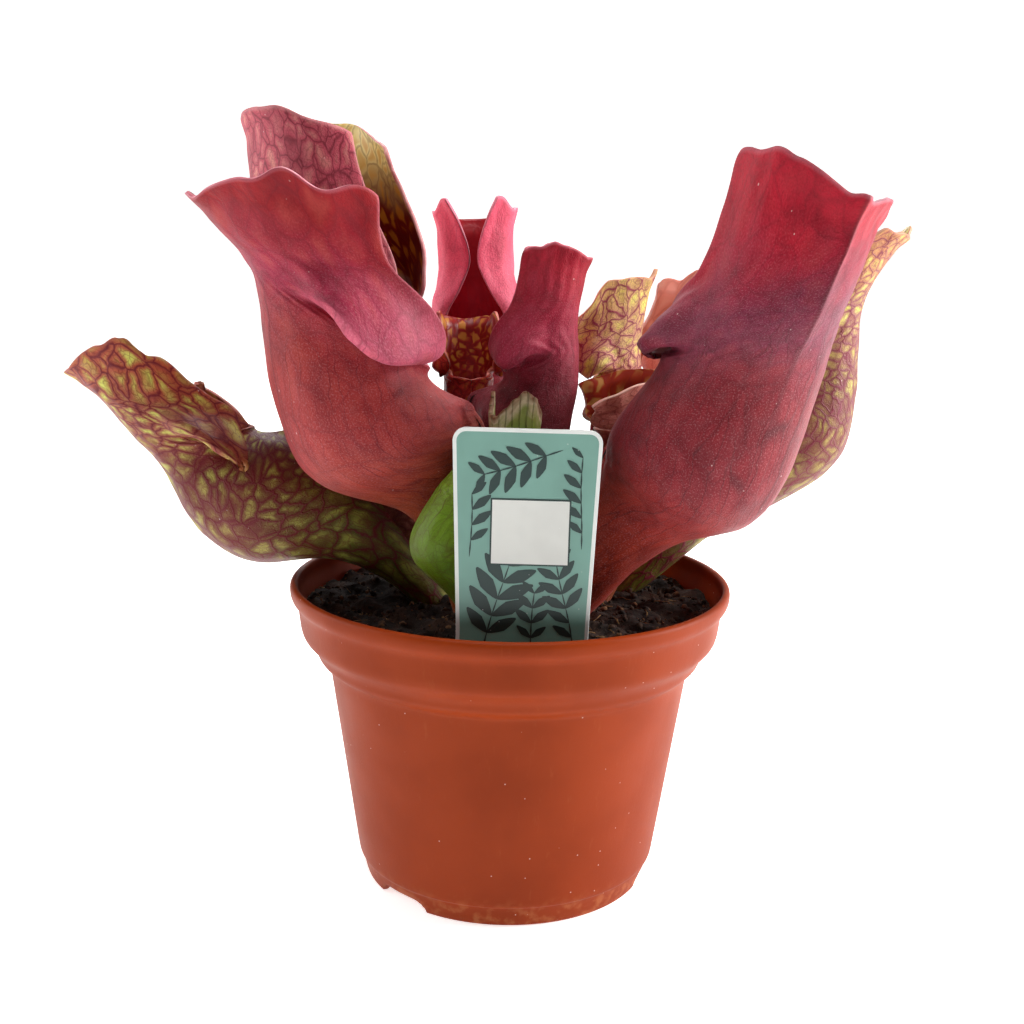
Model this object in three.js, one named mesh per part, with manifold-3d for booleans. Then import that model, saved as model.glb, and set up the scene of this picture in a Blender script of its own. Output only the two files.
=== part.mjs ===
// A purple pitcher plant in a plastic nursery pot, with its plant label.
// Millimetres, +Z up. The places below are from the centre of the pot's underside; at the end
// the plant is moved so that its bounding box stands centred on the origin.
// Each leaf is one rolled sheet: a solid petiole, a closed tube with a wing down its front
// seam, a lip, two ear lobes beside the mouth and an open hood. Its base stands in the soil.

import * as THREE from "three";
import Module from "manifold-3d";

// ---------------------------------------------------------------- driving dimensions

const GAP = 0.35; // clearance between pieces that touch

const POT = {
  height: 83.5,
  wall: 1.4,
  floorZ: 4.2, // top of the floor
  segments: 48,
  // outside, from the underside up to the rim: radius, height
  outside: [
    [39.2, 0], [39.7, 1.2], [40.7, 5.8], [41.5, 6.3], [49.4, 60.8], [50.7, 61.9], [52.5, 63.3],
    [53.2, 65.6], [54.6, 67.4], [56.4, 69.2], [57.1, 71.2], [57.9, 78.0], [59.7, 79.8], [60.0, 82.4],
  ],
  insideHeights: [79.6, 71.4, 67.2, 63, 60.4], // where the inside bends, from the rim down
  footInset: 2.2, // width of the foot ring
  footHeight: 2.6, // the floor's underside above the surface
  notches: { angles: [226, 346, 106], width: 17, height: 3.6 },
  drains: { count: 6, ring: 25, radius: 3.2 },
};

const SOIL = { level: 76, rings: 6, bump: 0.9, floor: POT.floorZ + GAP };

const LABEL = {
  place: [3.1, -45.5, SOIL.level], // where its middle enters the soil
  topWidth: 35.5,
  soilWidth: 32.2,
  above: 56,
  below: 15,
  tip: 8, // width at the buried point
  corner: 3.2,
  thickness: 0.8,
  lean: 0.5, // degrees, top towards the right
};

const SHEET = 1.1; // thickness of a leaf's wall
const ROOTED = 8; // depth of a petiole's base in the soil

// Stations along a leaf, as shares of its length.
const AT = {
  foot: 0, heel: 0.16, hollow: 0.2, belly: 0.4, neck: 0.6,
  lip: 0.64, notch: 0.7, lobe: 0.74, ear: 0.79, brow: 0.88, top: 1,
};
const AXIS_KEYS = [AT.foot, AT.heel, AT.belly, AT.neck, AT.ear, AT.top];
const WRAP_KEYS = [AT.lip, AT.notch, AT.lobe, AT.ear, AT.brow, AT.top];
const ROWS = [
  0, 0.08, 0.16, AT.hollow, 0.27, 0.34, 0.41, 0.48, 0.55, 0.6,
  AT.lip, 0.67, 0.7, 0.72, 0.745, 0.79, 0.83, 0.88, 0.94, 1,
];
const COLUMNS = [0, 0.16, 0.34, 0.52, 0.69, 0.86, 1]; // shares of the half width
const WING_WIDTH = 0.03;

const COLOURS = {
  crimson: 0xb8465a, wine: 0x7e2a3f, net: 0x9a8440, rose: 0xc05c6c, pink: 0xc9566f, salmon: 0xd98878,
  lime: 0xa8a04e, spotted: 0x8e3f34, green: 0x7a9a34, pot: 0xb5532f, soil: 0x2e211b, label: 0x86b3ad,
};

// Every leaf: foot is where it enters the soil; azimuth is the way it leans out, in degrees;
// axis holds (out, up) of the tube's centre at heel, belly, neck, ear and top, from the foot;
// tilt, deep and wide are its sections there: the slope of the section towards the plant's
// centre, and its half depth and half width. wrap is how far round the hood reaches at the
// ear, brow and top, and notch how far at the notch under an ear, in degrees. The rest shapes
// the ears, the hood's top margin and the wing; slope raises one half of the hood over the
// other.
const LEAF_DEFAULTS = {
  petiole: 3.4, wing: 3.5, notch: 112, ear: 6, puff: 2.5,
  crest: 4, ripple: 1, tip: 1, horn: 0, keel: 0, slope: 0, roll: 0,
};

const LEAVES = [
  {
    name: "pitcher_front_left", colour: COLOURS.crimson, foot: [-9, -10], azimuth: 188,
    axis: [[7, 30], [25.5, 48], [34.5, 73], [32.5, 84.5], [44.5, 106]],
    tilt: [41, 17, -23, -19, -1], deep: [10.5, 22, 23, 28.5, 26], wide: [9, 21, 17, 18, 22],
    wrap: [154, 122, 128], notch: 92, ear: 9, puff: 5, crest: 6, ripple: 1.8, tip: 3, slope: 2,
  },
  {
    name: "pitcher_front_right", colour: COLOURS.wine, foot: [9.5, -7.7], azimuth: -20,
    axis: [[21, 25.5], [38.5, 43.5], [49.5, 68.5], [53, 82.5], [64.5, 109]],
    tilt: [40, 25, 0, -8, 0], deep: [11, 22, 20, 22.5, 18], wide: [10.5, 22.5, 20.5, 21, 17.5],
    wrap: [160, 104, 97], ear: 5, puff: 5, crest: 6, ripple: 0.6, tip: 2, horn: 1.5,
    keel: 3, slope: -9, roll: 46,
  },
  {
    name: "pitcher_low_left", colour: COLOURS.net, foot: [-13, 3.5], azimuth: 178,
    axis: [[27, 18], [56, 27], [70.5, 41], [76, 50], [91, 61.5]],
    tilt: [82, 62, 20, -2, 1], deep: [9.5, 17.5, 14, 19, 16], wide: [8, 17, 12, 14, 15],
    wrap: [154, 134, 120], notch: 96, ear: 10, puff: 7, crest: 7, horn: -3, slope: 4, roll: -22,
  },
  {
    name: "pitcher_back_left", colour: COLOURS.rose, foot: [-15, 15], azimuth: 158,
    axis: [[15.5, 9], [28, 41], [35, 74], [36.5, 96], [46, 124.5]],
    tilt: [25, 13, -7, -18, -7], deep: [7, 15, 17, 28, 20], wide: [8, 14, 14, 17, 18],
    wrap: [152, 146, 150], ear: 7, crest: 6, ripple: 0.5, tip: 0, slope: 2, roll: 5,
  },
  {
    name: "pitcher_back", colour: COLOURS.pink, foot: [-3, 27], azimuth: 108,
    axis: [[9.5, 16], [24, 37], [26.5, 64.5], [27.5, 79.5], [31.5, 105]],
    tilt: [60, 40, 10, 0, 10], deep: [6, 12, 9, 11, 12], wide: [6, 12, 9, 11, 12],
    wrap: [138, 174, 148], ear: 5, crest: 0, tip: 0, horn: 2, roll: 20, petiole: 3,
  },
  {
    name: "pitcher_centre", colour: COLOURS.pink, foot: [3, 10], azimuth: -12,
    axis: [[2.5, 14], [-0.5, 48.5], [4.5, 62], [1.5, 73.5], [5, 92.5]],
    tilt: [31, 16, -3, -15, -4], deep: [6, 13, 10.5, 13, 11], wide: [6, 12, 9, 10, 12],
    wrap: [152, 116, 104], notch: 98, ear: 5, crest: 3, ripple: 0.4, slope: -3.5, petiole: 3,
  },
  {
    name: "pitcher_netted_centre", colour: COLOURS.lime, foot: [17.9, 24.3], azimuth: 2,
    axis: [[13, 10], [14.5, 41], [12.5, 56], [7.5, 68], [6, 82]],
    tilt: [34, 11, -3, -12, -21], deep: [5, 8.5, 6.5, 10.5, 15], wide: [5, 8, 6, 8, 8],
    wrap: [150, 130, 125], ear: 4, crest: 2, horn: -7, slope: -4, tip: 3, ripple: 0.4, petiole: 2.6, wing: 2,
  },
  {
    name: "pitcher_folded_right", colour: COLOURS.salmon, foot: [21.6, 6.6], azimuth: 8,
    axis: [[8.5, 13], [12.5, 33], [11, 45], [8, 51], [5.5, 59]],
    tilt: [31, 27, 9, 0, -12], deep: [4.5, 9.5, 9.5, 12.5, 16], wide: [5, 8, 6.5, 7, 7.5],
    wrap: [134, 122, 118], ear: 1.5, puff: 1, crest: 2, ripple: 0.2, slope: 2, petiole: 2.6, wing: 2,
  },
  {
    name: "pitcher_rear_right", colour: COLOURS.salmon, foot: [15, 36], azimuth: 15,
    axis: [[10, 12], [25, 36], [33, 54], [33, 66], [40, 85]],
    tilt: [35, 20, 5, -5, -4], deep: [5, 12, 10, 13, 15], wide: [5, 10, 9, 10, 12],
    wrap: [150, 125, 115], ear: 4, crest: 3, petiole: 3,
  },
  {
    name: "pitcher_netted_right", colour: COLOURS.lime, foot: [23, 13], azimuth: 15,
    axis: [[27, 17], [60.5, 44], [66, 67], [64, 82], [72.5, 99]],
    tilt: [49, 32, -7, -8, -2], deep: [6, 14, 11.5, 15, 18], wide: [7, 14, 11, 12, 14],
    wrap: [150, 125, 120], ear: 5, crest: 3, tip: 4, petiole: 3,
  },
  {
    name: "pitcher_spotted", colour: COLOURS.spotted, foot: [-12, 22.5], azimuth: 100,
    axis: [[2, 16], [5, 36], [6, 55], [6.5, 64], [8, 76]],
    tilt: [60, 35, 15, 5, 10], deep: [4, 7.5, 6, 7, 8], wide: [4, 8, 7, 8, 8.5],
    wrap: [140, 112, 105], ear: 3, crest: 1, horn: -5, tip: 0, petiole: 2.5, wing: 2,
  },
  {
    name: "pitcher_young_green", colour: COLOURS.green, foot: [1, -30], azimuth: 186,
    axis: [[12.5, 15.5], [17.5, 26], [13.5, 35], [11, 39], [8, 44]],
    tilt: [60, 15, -13, -17, -8], deep: [6.5, 9, 7.5, 7, 6], wide: [6, 8.5, 6.5, 6.5, 7.5],
    wrap: [150, 125, 120], ear: 3, puff: 1.5, crest: 1, petiole: 2.6, wing: 1.5,
  },
];

// The stump of a cut leaf: an open gutter with a torn, dried top.
const STUMP = {
  name: "cut_leaf", foot: [-1, -14], height: 58, radius: [3, 7],
  wrap: 125, facing: -80, lean: 1.5, tear: 3, rows: 9, columns: 8,
};

// ---------------------------------------------------------------- curves

const radians = THREE.MathUtils.degToRad;

function smooth(x) {
  const t = THREE.MathUtils.clamp(x, 0, 1);
  return t * t * (3 - 2 * t);
}

function between(x, a, b) {
  return smooth((x - a) / (b - a));
}

// A smooth curve through values at uneven keys.
function curve(keys, values, x) {
  const last = keys.length - 1;
  const step = (i) => keys[i + 1] - keys[i];
  const rise = (i) => (values[i + 1] - values[i]) / step(i);
  const slope = (i) => {
    if (i === 0) return rise(0);
    if (i === last) return rise(last - 1);
    return (rise(i - 1) * step(i) + rise(i) * step(i - 1)) / (step(i) + step(i - 1));
  };
  let i = 0;
  while (i < last - 1 && x >= keys[i + 1]) i += 1;
  const h = step(i);
  const t = (x - keys[i]) / h;
  const a = 2 * t ** 3 - 3 * t ** 2 + 1;
  const b = t ** 3 - 2 * t ** 2 + t;
  const c = 3 * t ** 2 - 2 * t ** 3;
  const d = t ** 3 - t ** 2;
  return a * values[i] + b * h * slope(i) + c * values[i + 1] + d * h * slope(i + 1);
}

// ---------------------------------------------------------------- solids

function geometryOf(points, faces) {
  const geometry = new THREE.BufferGeometry();
  geometry.setAttribute("position", new THREE.Float32BufferAttribute(points.flat(), 3));
  geometry.setIndex(faces.flat());
  return geometry;
}

const wasm = await Module();
wasm.setup();

function solidOf(geometry) {
  return new wasm.Manifold(new wasm.Mesh({
    numProp: 3,
    vertProperties: new Float32Array(geometry.attributes.position.array),
    triVerts: new Uint32Array(geometry.index.array),
  }));
}

function geometryFrom(solid) {
  const mesh = solid.getMesh();
  const geometry = new THREE.BufferGeometry();
  geometry.setAttribute("position", new THREE.BufferAttribute(mesh.vertProperties, 3));
  geometry.setIndex(new THREE.BufferAttribute(mesh.triVerts, 1));
  return geometry;
}

// A closed ring of points for each row, capped at both ends, as one solid.
function stackedRings(rows) {
  const count = rows[0].length;
  const points = rows.flat();
  const faces = [];
  for (let j = 0; j + 1 < rows.length; j += 1) {
    for (let i = 0; i < count; i += 1) {
      const a = j * count + i;
      const b = j * count + ((i + 1) % count);
      faces.push([a, b, b + count], [a, b + count, a + count]);
    }
  }
  const bottom = points.push(centreOf(rows[0])) - 1;
  const top = points.push(centreOf(rows.at(-1))) - 1;
  const lastRow = (rows.length - 1) * count;
  for (let i = 0; i < count; i += 1) {
    const next = (i + 1) % count;
    faces.push([bottom, next, i], [top, lastRow + i, lastRow + next]);
  }
  return geometryOf(points, faces);
}

function centreOf(ring) {
  return [0, 1, 2].map((k) => ring.reduce((sum, p) => sum + p[k], 0) / ring.length);
}

// ---------------------------------------------------------------- a leaf

// A point of a leaf's sheet. across runs from -1 to 1, with the midrib at 0 and the two
// margins at the ends; along runs from the foot to the top; inset moves it into the leaf.
function sheetPoint(leaf, across, along, inset = 0) {
  const a = Math.abs(across);
  const side = Math.sign(across);
  const key = (first, values) => curve(AXIS_KEYS, [first, ...values], along);
  const out = key(0, leaf.axis.map((p) => p[0]));
  const up = key(-ROOTED, leaf.axis.map((p) => p[1]));
  const tilt = radians(key(leaf.tilt[0], leaf.tilt));
  const deep = key(leaf.petiole, leaf.deep) - inset;
  const wide = key(leaf.petiole, leaf.wide) - inset;

  // how far round this row reaches: all the way in the tube, less in the hood
  const [ear, brow, top] = leaf.wrap;
  const reach = [180, leaf.notch, 0.6 * leaf.notch + 0.4 * ear, ear, brow, top];
  const wrap = along <= AT.lip ? 180 : Math.min(178, curve(WRAP_KEYS, reach, along));
  const theta = radians(wrap) * a;

  // the ear lobes swell and hang past the notch
  const opening = between(along, AT.notch, AT.lobe);
  const past = theta - radians(leaf.notch);
  const cheek = between(past, -0.65, -0.05) * (1 - 0.8 * between(past, 0.25, 0.8));
  const hang = between(past, -0.25, 0.35);
  const puff = leaf.puff * opening * (1 - between(along, AT.ear, AT.brow)) * cheek;
  const drop = leaf.ear * opening * (1 - between(along, AT.lobe, AT.brow)) * hang;
  let x = -(deep + puff) * Math.cos(theta);
  const y = (wide + puff) * Math.sin(theta);
  let z = -drop;

  // the hood: a fold along the midrib, a waved top margin and the midrib's tip
  const hood = between(along, AT.neck, AT.ear);
  const crown = between(along, AT.brow, AT.top);
  const tip = leaf.tip * Math.exp(-((a / 0.07) ** 2)) * between(along, 0.93, AT.top);
  x -= leaf.keel * hood * Math.exp(-a / 0.09) * (1 - 0.3 * crown) + 0.6 * tip;
  const ruffle = between(a, 0.42, 0.58) * Math.cos(20 * a - 12.4);
  z += crown * leaf.crest * Math.sin(Math.PI * a ** 1.2);
  z += crown * (leaf.ripple * ruffle + leaf.slope * across);
  z += crown * leaf.horn * between(a, 0.6, 1) + tip;

  // the wing down the front seam
  if (inset === 0 && along <= AT.lip) {
    const rise = between(along, 0.04, 0.24) * (1 - between(along, AT.belly + 0.04, AT.neck));
    x += leaf.wing * rise * Math.exp(-(1 - a) / WING_WIDTH);
  }

  // turn the section about its centre, tilt it and set it out from the foot
  const roll = radians(leaf.roll) * between(along, 0.1, 0.5);
  const sx = x * Math.cos(roll) - side * y * Math.sin(roll);
  const sy = x * Math.sin(roll) + side * y * Math.cos(roll);
  const outward = out - Math.cos(tilt) * sx + Math.sin(tilt) * z;
  const azimuth = radians(leaf.azimuth);
  return [
    leaf.foot[0] + outward * Math.cos(azimuth) - sy * Math.sin(azimuth),
    leaf.foot[1] + outward * Math.sin(azimuth) + sy * Math.cos(azimuth),
    SOIL.level + up + Math.sin(tilt) * sx + Math.cos(tilt) * z,
  ];
}

function acrossValues() {
  const half = COLUMNS.slice(1);
  return [...half.map((c) => -c).reverse(), 0, ...half];
}

// The rolled sheet as one closed solid: an outer face, an inner face from the hollow up,
// and the rim that joins them along the lip, the ears and the hood's margins.
function leafGeometry(leaf) {
  const points = [];
  const faces = [];
  const columns = acrossValues();
  const last = columns.length - 1;

  const addFace = (rows, inset) => rows.map((along) => {
    const closed = along <= AT.lip;
    const ids = columns.slice(0, closed ? last : last + 1)
      .map((across) => points.push(sheetPoint(leaf, across, along, inset)) - 1);
    return closed ? [...ids, ids[0]] : ids;
  });
  const addQuad = (a, b, c, d, flip) => {
    for (const [p, q, r] of [[a, b, c], [a, c, d]]) {
      if (p === q || q === r || r === p) continue;
      faces.push(flip ? [p, r, q] : [p, q, r]);
    }
  };
  const addStrips = (rows, flip) => {
    for (let j = 0; j + 1 < rows.length; j += 1) {
      for (let i = 0; i < last; i += 1) {
        addQuad(rows[j][i], rows[j][i + 1], rows[j + 1][i + 1], rows[j + 1][i], flip);
      }
    }
  };
  const addCap = (ring, flip) => {
    const centre = points.push(centreOf(ring.slice(0, last).map((id) => points[id]))) - 1;
    for (let i = 0; i < last; i += 1) {
      faces.push(flip ? [centre, ring[i], ring[i + 1]] : [centre, ring[i + 1], ring[i]]);
    }
  };

  const outer = addFace(ROWS, 0);
  const innerRows = ROWS.filter((along) => along >= AT.hollow);
  const inner = addFace(innerRows, SHEET);
  addStrips(outer, false);
  addStrips(inner, true);
  addCap(outer[0], false);
  addCap(inner[0], true);

  // the rim, from the front seam up one margin, across the top and down the other
  const skipped = ROWS.length - innerRows.length;
  const seam = ROWS.indexOf(AT.lip);
  for (let j = seam; j + 1 < ROWS.length; j += 1) {
    const k = j - skipped;
    addQuad(outer[j][0], outer[j + 1][0], inner[k + 1][0], inner[k][0], false);
    addQuad(outer[j + 1][last], outer[j][last], inner[k][last], inner[k + 1][last], false);
  }
  const topOuter = outer.at(-1);
  const topInner = inner.at(-1);
  for (let i = 0; i < last; i += 1) {
    addQuad(topOuter[i], topOuter[i + 1], topInner[i + 1], topInner[i], false);
  }

  return geometryOf(points, faces);
}

// The hole that a leaf's base stands in.
function leafHole(leaf) {
  const count = 12;
  const rows = [-0.01, 0.03, 0.06, 0.09, 0.12, 0.15].map((along) => {
    const ring = [];
    for (let i = 0; i < count; i += 1) {
      ring.push(sheetPoint({ ...leaf, wing: 0 }, 1 - (2 * i) / count, along, -GAP * 2.5));
    }
    return ring.reverse();
  });
  return stackedRings(rows);
}

// ---------------------------------------------------------------- the cut leaf

function stumpPoint(across, along, inset) {
  const radius = THREE.MathUtils.lerp(STUMP.radius[0], STUMP.radius[1], along) - inset;
  const angle = radians(STUMP.facing + STUMP.wrap * across);
  const tear = between(along, 0.8, 1) * STUMP.tear * Math.sin(5 * across + 1);
  return [
    STUMP.foot[0] + STUMP.lean * along + radius * Math.cos(angle),
    STUMP.foot[1] + radius * Math.sin(angle),
    SOIL.level - ROOTED + (STUMP.height + ROOTED) * along + tear,
  ];
}

function stumpGeometry() {
  const rows = [];
  for (let j = 0; j <= STUMP.rows; j += 1) {
    const ring = [];
    const along = j / STUMP.rows;
    const across = (i) => (2 * i) / STUMP.columns - 1;
    for (let i = 0; i <= STUMP.columns; i += 1) ring.push(stumpPoint(across(i), along, 0));
    for (let i = STUMP.columns; i >= 0; i -= 1) ring.push(stumpPoint(across(i), along, SHEET));
    rows.push(ring);
  }
  return gutterRings(rows);
}

// Rings whose two halves are an outer and an inner run, so the ends are strips, not fans.
function gutterRings(rows) {
  const count = rows[0].length;
  const half = count / 2;
  const points = rows.flat();
  const faces = [];
  for (let j = 0; j + 1 < rows.length; j += 1) {
    for (let i = 0; i < count; i += 1) {
      const a = j * count + i;
      const b = j * count + ((i + 1) % count);
      faces.push([a, b, b + count], [a, b + count, a + count]);
    }
  }
  const lastRow = (rows.length - 1) * count;
  for (let i = 0; i + 1 < half; i += 1) {
    const opposite = count - 1 - i;
    faces.push([i, opposite, opposite - 1], [i, opposite - 1, i + 1]);
    faces.push([lastRow + i, lastRow + opposite - 1, lastRow + opposite]);
    faces.push([lastRow + i, lastRow + i + 1, lastRow + opposite - 1]);
  }
  return geometryOf(points, faces);
}

function stumpHole() {
  const radius = STUMP.radius[0] + 3 * GAP;
  const hole = new THREE.CylinderGeometry(radius, radius, 2 * ROOTED, 12);
  hole.rotateX(Math.PI / 2);
  hole.translate(STUMP.foot[0] + 0.2, STUMP.foot[1], SOIL.level - GAP);
  return hole;
}

// ---------------------------------------------------------------- pot, soil and label

// Revolve a closed outline, given as radius and height.
function revolve(outline, segments) {
  const points = [];
  const faces = [];
  for (let i = 0; i < segments; i += 1) {
    const angle = (2 * Math.PI * i) / segments;
    for (const [r, z] of outline) points.push([r * Math.cos(angle), r * Math.sin(angle), z]);
  }
  const count = outline.length;
  for (let i = 0; i < segments; i += 1) {
    const here = i * count;
    const there = ((i + 1) % segments) * count;
    for (let k = 0; k < count; k += 1) {
      const next = (k + 1) % count;
      faces.push([here + k, there + k, there + next], [here + k, there + next, here + next]);
    }
  }
  return geometryOf(points, faces);
}

// Radius of the pot's inside at a height above the floor.
function potInside(z) {
  const outline = POT.outside;
  let i = 0;
  while (i + 2 < outline.length && outline[i + 1][1] < z) i += 1;
  const [[r0, z0], [r1, z1]] = [outline[i], outline[i + 1]];
  return r0 + ((r1 - r0) * (z - z0)) / (z1 - z0) - POT.wall;
}

// The pot is a cup: outside, rolled rim, inside and floor, then drains and notches are cut.
function potGeometry() {
  const rimRadius = POT.outside.at(-1)[0];
  const rim = [[rimRadius - 0.7, POT.height], [rimRadius - 2.3, POT.height]];
  const inside = [...POT.insideHeights, POT.floorZ + 2].map((z) => [potInside(z), z]);
  const floorRadius = potInside(POT.floorZ + 2) - 1.2;
  const footRadius = POT.outside[0][0] - POT.footInset;
  const hub = 0.5; // the outline stays off the axis, and a plug fills the middle
  const outline = [
    ...POT.outside, ...rim, ...inside, [floorRadius, POT.floorZ], [hub, POT.floorZ],
    [hub, POT.footHeight], [footRadius, POT.footHeight], [footRadius, 0],
  ];
  let pot = solidOf(revolve(outline, POT.segments));
  const plug = new THREE.CylinderGeometry(hub * 2, hub * 2, POT.floorZ - POT.footHeight, 12);
  plug.rotateX(Math.PI / 2);
  plug.translate(0, 0, (POT.floorZ + POT.footHeight) / 2);
  pot = pot.add(merged(plug));

  const { count, ring, radius } = POT.drains;
  for (let i = 0; i < count; i += 1) {
    const drain = new THREE.CylinderGeometry(radius, radius, 4 * POT.floorZ, 16);
    drain.rotateX(Math.PI / 2);
    const angle = radians(POT.notches.angles[0]) + (2 * Math.PI * i) / count;
    drain.translate(ring * Math.cos(angle), ring * Math.sin(angle), 0);
    pot = pot.subtract(merged(drain));
  }
  for (const degrees of POT.notches.angles) pot = pot.subtract(solidOf(notchCutter(radians(degrees))));
  return geometryFrom(pot);
}

// An arched gap in the foot ring, cut from outside to just inside the ring.
function notchCutter(angle) {
  const { width, height } = POT.notches;
  const shape = new THREE.Shape();
  shape.moveTo(-width / 2, -1);
  shape.lineTo(width / 2, -1);
  shape.quadraticCurveTo(width / 2 - 1, height, width / 2 - 4, height);
  shape.lineTo(-width / 2 + 4, height);
  shape.quadraticCurveTo(-width / 2 + 1, height, -width / 2, -1);
  const cutter = new THREE.ExtrudeGeometry(shape, { depth: 12, bevelEnabled: false, curveSegments: 5 });
  cutter.rotateX(Math.PI / 2);
  cutter.rotateZ(angle + Math.PI / 2);
  const reach = POT.outside[0][0] + 6;
  cutter.translate(reach * Math.cos(angle), reach * Math.sin(angle), 0);
  return welded(cutter);
}

// Shared vertices of a geometry made one, keyed by their place.
function welded(geometry) {
  const source = geometry.index ? geometry.toNonIndexed() : geometry;
  const position = source.attributes.position;
  const seen = new Map();
  const points = [];
  const ids = [];
  for (let i = 0; i < position.count; i += 1) {
    const p = [position.getX(i), position.getY(i), position.getZ(i)];
    const key = p.map((value) => Math.round(value * 1e4)).join(",");
    if (!seen.has(key)) seen.set(key, points.push(p) - 1);
    ids.push(seen.get(key));
  }
  const faces = [];
  for (let i = 0; i < ids.length; i += 3) {
    const [a, b, c] = ids.slice(i, i + 3);
    if (a !== b && b !== c && c !== a) faces.push([a, b, c]);
  }
  return geometryOf(points, faces);
}

function merged(geometry) {
  return solidOf(welded(geometry));
}

// Height of the soil's crumbly surface.
function soilHeight(x, y) {
  const waves = Math.sin(0.31 * x + 0.7) * Math.cos(0.27 * y) + 0.6 * Math.sin(0.53 * y + 0.45 * x + 2);
  return SOIL.level + SOIL.bump * waves;
}

function soilGeometry(cutters) {
  const heights = POT.insideHeights.filter((z) => z < SOIL.level);
  const sides = [...heights, SOIL.floor + 2].map((z) => [potInside(z) - 1.6 * GAP, z]);
  const topRadius = sides[0][0] - 0.6;
  const wall = [...sides, [sides.at(-1)[0] - 1.4, SOIL.floor]];
  const points = [];
  const faces = [];
  const rings = [];
  for (let k = 1; k <= SOIL.rings; k += 1) rings.push([(topRadius * k) / SOIL.rings, null]);
  rings.push(...wall);
  for (const [r, z] of rings) {
    for (let i = 0; i < POT.segments; i += 1) {
      const angle = (2 * Math.PI * i) / POT.segments;
      const [x, y] = [r * Math.cos(angle), r * Math.sin(angle)];
      points.push([x, y, z ?? soilHeight(x, y)]);
    }
  }
  const crown = points.push([0, 0, soilHeight(0, 0)]) - 1;
  const base = points.push([0, 0, SOIL.floor]) - 1;
  const n = POT.segments;
  const lastRing = (rings.length - 1) * n;
  for (let i = 0; i < n; i += 1) {
    const next = (i + 1) % n;
    faces.push([crown, i, next], [base, lastRing + next, lastRing + i]);
    for (let k = 0; k + 1 < rings.length; k += 1) {
      const [a, b] = [k * n + i, k * n + next];
      faces.push([a, a + n, b + n], [a, b + n, b]);
    }
  }
  let soil = solidOf(geometryOf(points, faces));
  for (const cutter of cutters) soil = soil.subtract(cutter);
  return geometryFrom(soil);
}

// The label's outline: rounded top corners, sides that narrow downwards, a buried point.
function labelShape(grow) {
  const { topWidth, soilWidth, above, below, tip, corner } = LABEL;
  const shape = new THREE.Shape();
  const [top, mid, point] = [topWidth / 2 + grow, soilWidth / 2 + grow, tip / 2 + grow];
  const taper = above * 0.12;
  shape.moveTo(-point, -below - grow);
  shape.lineTo(point, -below - grow);
  shape.lineTo(mid, -taper * 0.5);
  shape.lineTo(mid, taper);
  shape.lineTo(top, above - corner);
  shape.quadraticCurveTo(top, above + grow, top - corner, above + grow);
  shape.lineTo(-top + corner, above + grow);
  shape.quadraticCurveTo(-top, above + grow, -top, above - corner);
  shape.lineTo(-mid, taper);
  shape.lineTo(-mid, -taper * 0.5);
  shape.closePath();
  return shape;
}

function labelGeometry(grow = 0) {
  const depth = LABEL.thickness + 2 * grow;
  const options = { depth, bevelEnabled: false, curveSegments: 5 };
  const plate = new THREE.ExtrudeGeometry(labelShape(grow), options);
  plate.translate(0, 0, -depth / 2);
  plate.rotateX(Math.PI / 2);
  plate.rotateY(radians(LABEL.lean));
  plate.translate(...LABEL.place);
  return welded(plate);
}

// ---------------------------------------------------------------- the whole plant

function finish(name, geometry, colour, roughness) {
  geometry.computeVertexNormals();
  const material = new THREE.MeshStandardMaterial({ color: colour, roughness, metalness: 0 });
  const mesh = new THREE.Mesh(geometry, material);
  mesh.name = name;
  return mesh;
}

const plant = new THREE.Group();
const leaves = LEAVES.map((leaf) => ({ ...LEAF_DEFAULTS, ...leaf }));
const holes = [
  ...leaves.map((leaf) => solidOf(leafHole(leaf))),
  merged(stumpHole()),
  solidOf(labelGeometry(GAP * 1.3)),
];

plant.add(finish("nursery_pot", potGeometry(), COLOURS.pot, 0.5));
plant.add(finish("soil", soilGeometry(holes), COLOURS.soil, 0.95));
plant.add(finish("plant_label", labelGeometry(), COLOURS.label, 0.35));
plant.add(finish(STUMP.name, stumpGeometry(), COLOURS.green, 0.8));
for (const leaf of leaves) plant.add(finish(leaf.name, leafGeometry(leaf), leaf.colour, 0.6));

const box = new THREE.Box3().setFromObject(plant);
const middle = box.getCenter(new THREE.Vector3());
plant.position.set(-middle.x, -middle.y, -box.min.z);

export default plant;
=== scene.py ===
"""A purple pitcher plant in a plastic nursery pot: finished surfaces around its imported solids.

Sizes are in millimetres around the pot's own axis, and are set out in the frame at the end.
"""

import logging
import math
import random
from dataclasses import dataclass
from enum import Enum
from typing import Sequence

import bmesh
import bpy
import numpy as np
from mathutils import Color, Euler, Matrix, Vector, noise


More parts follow.
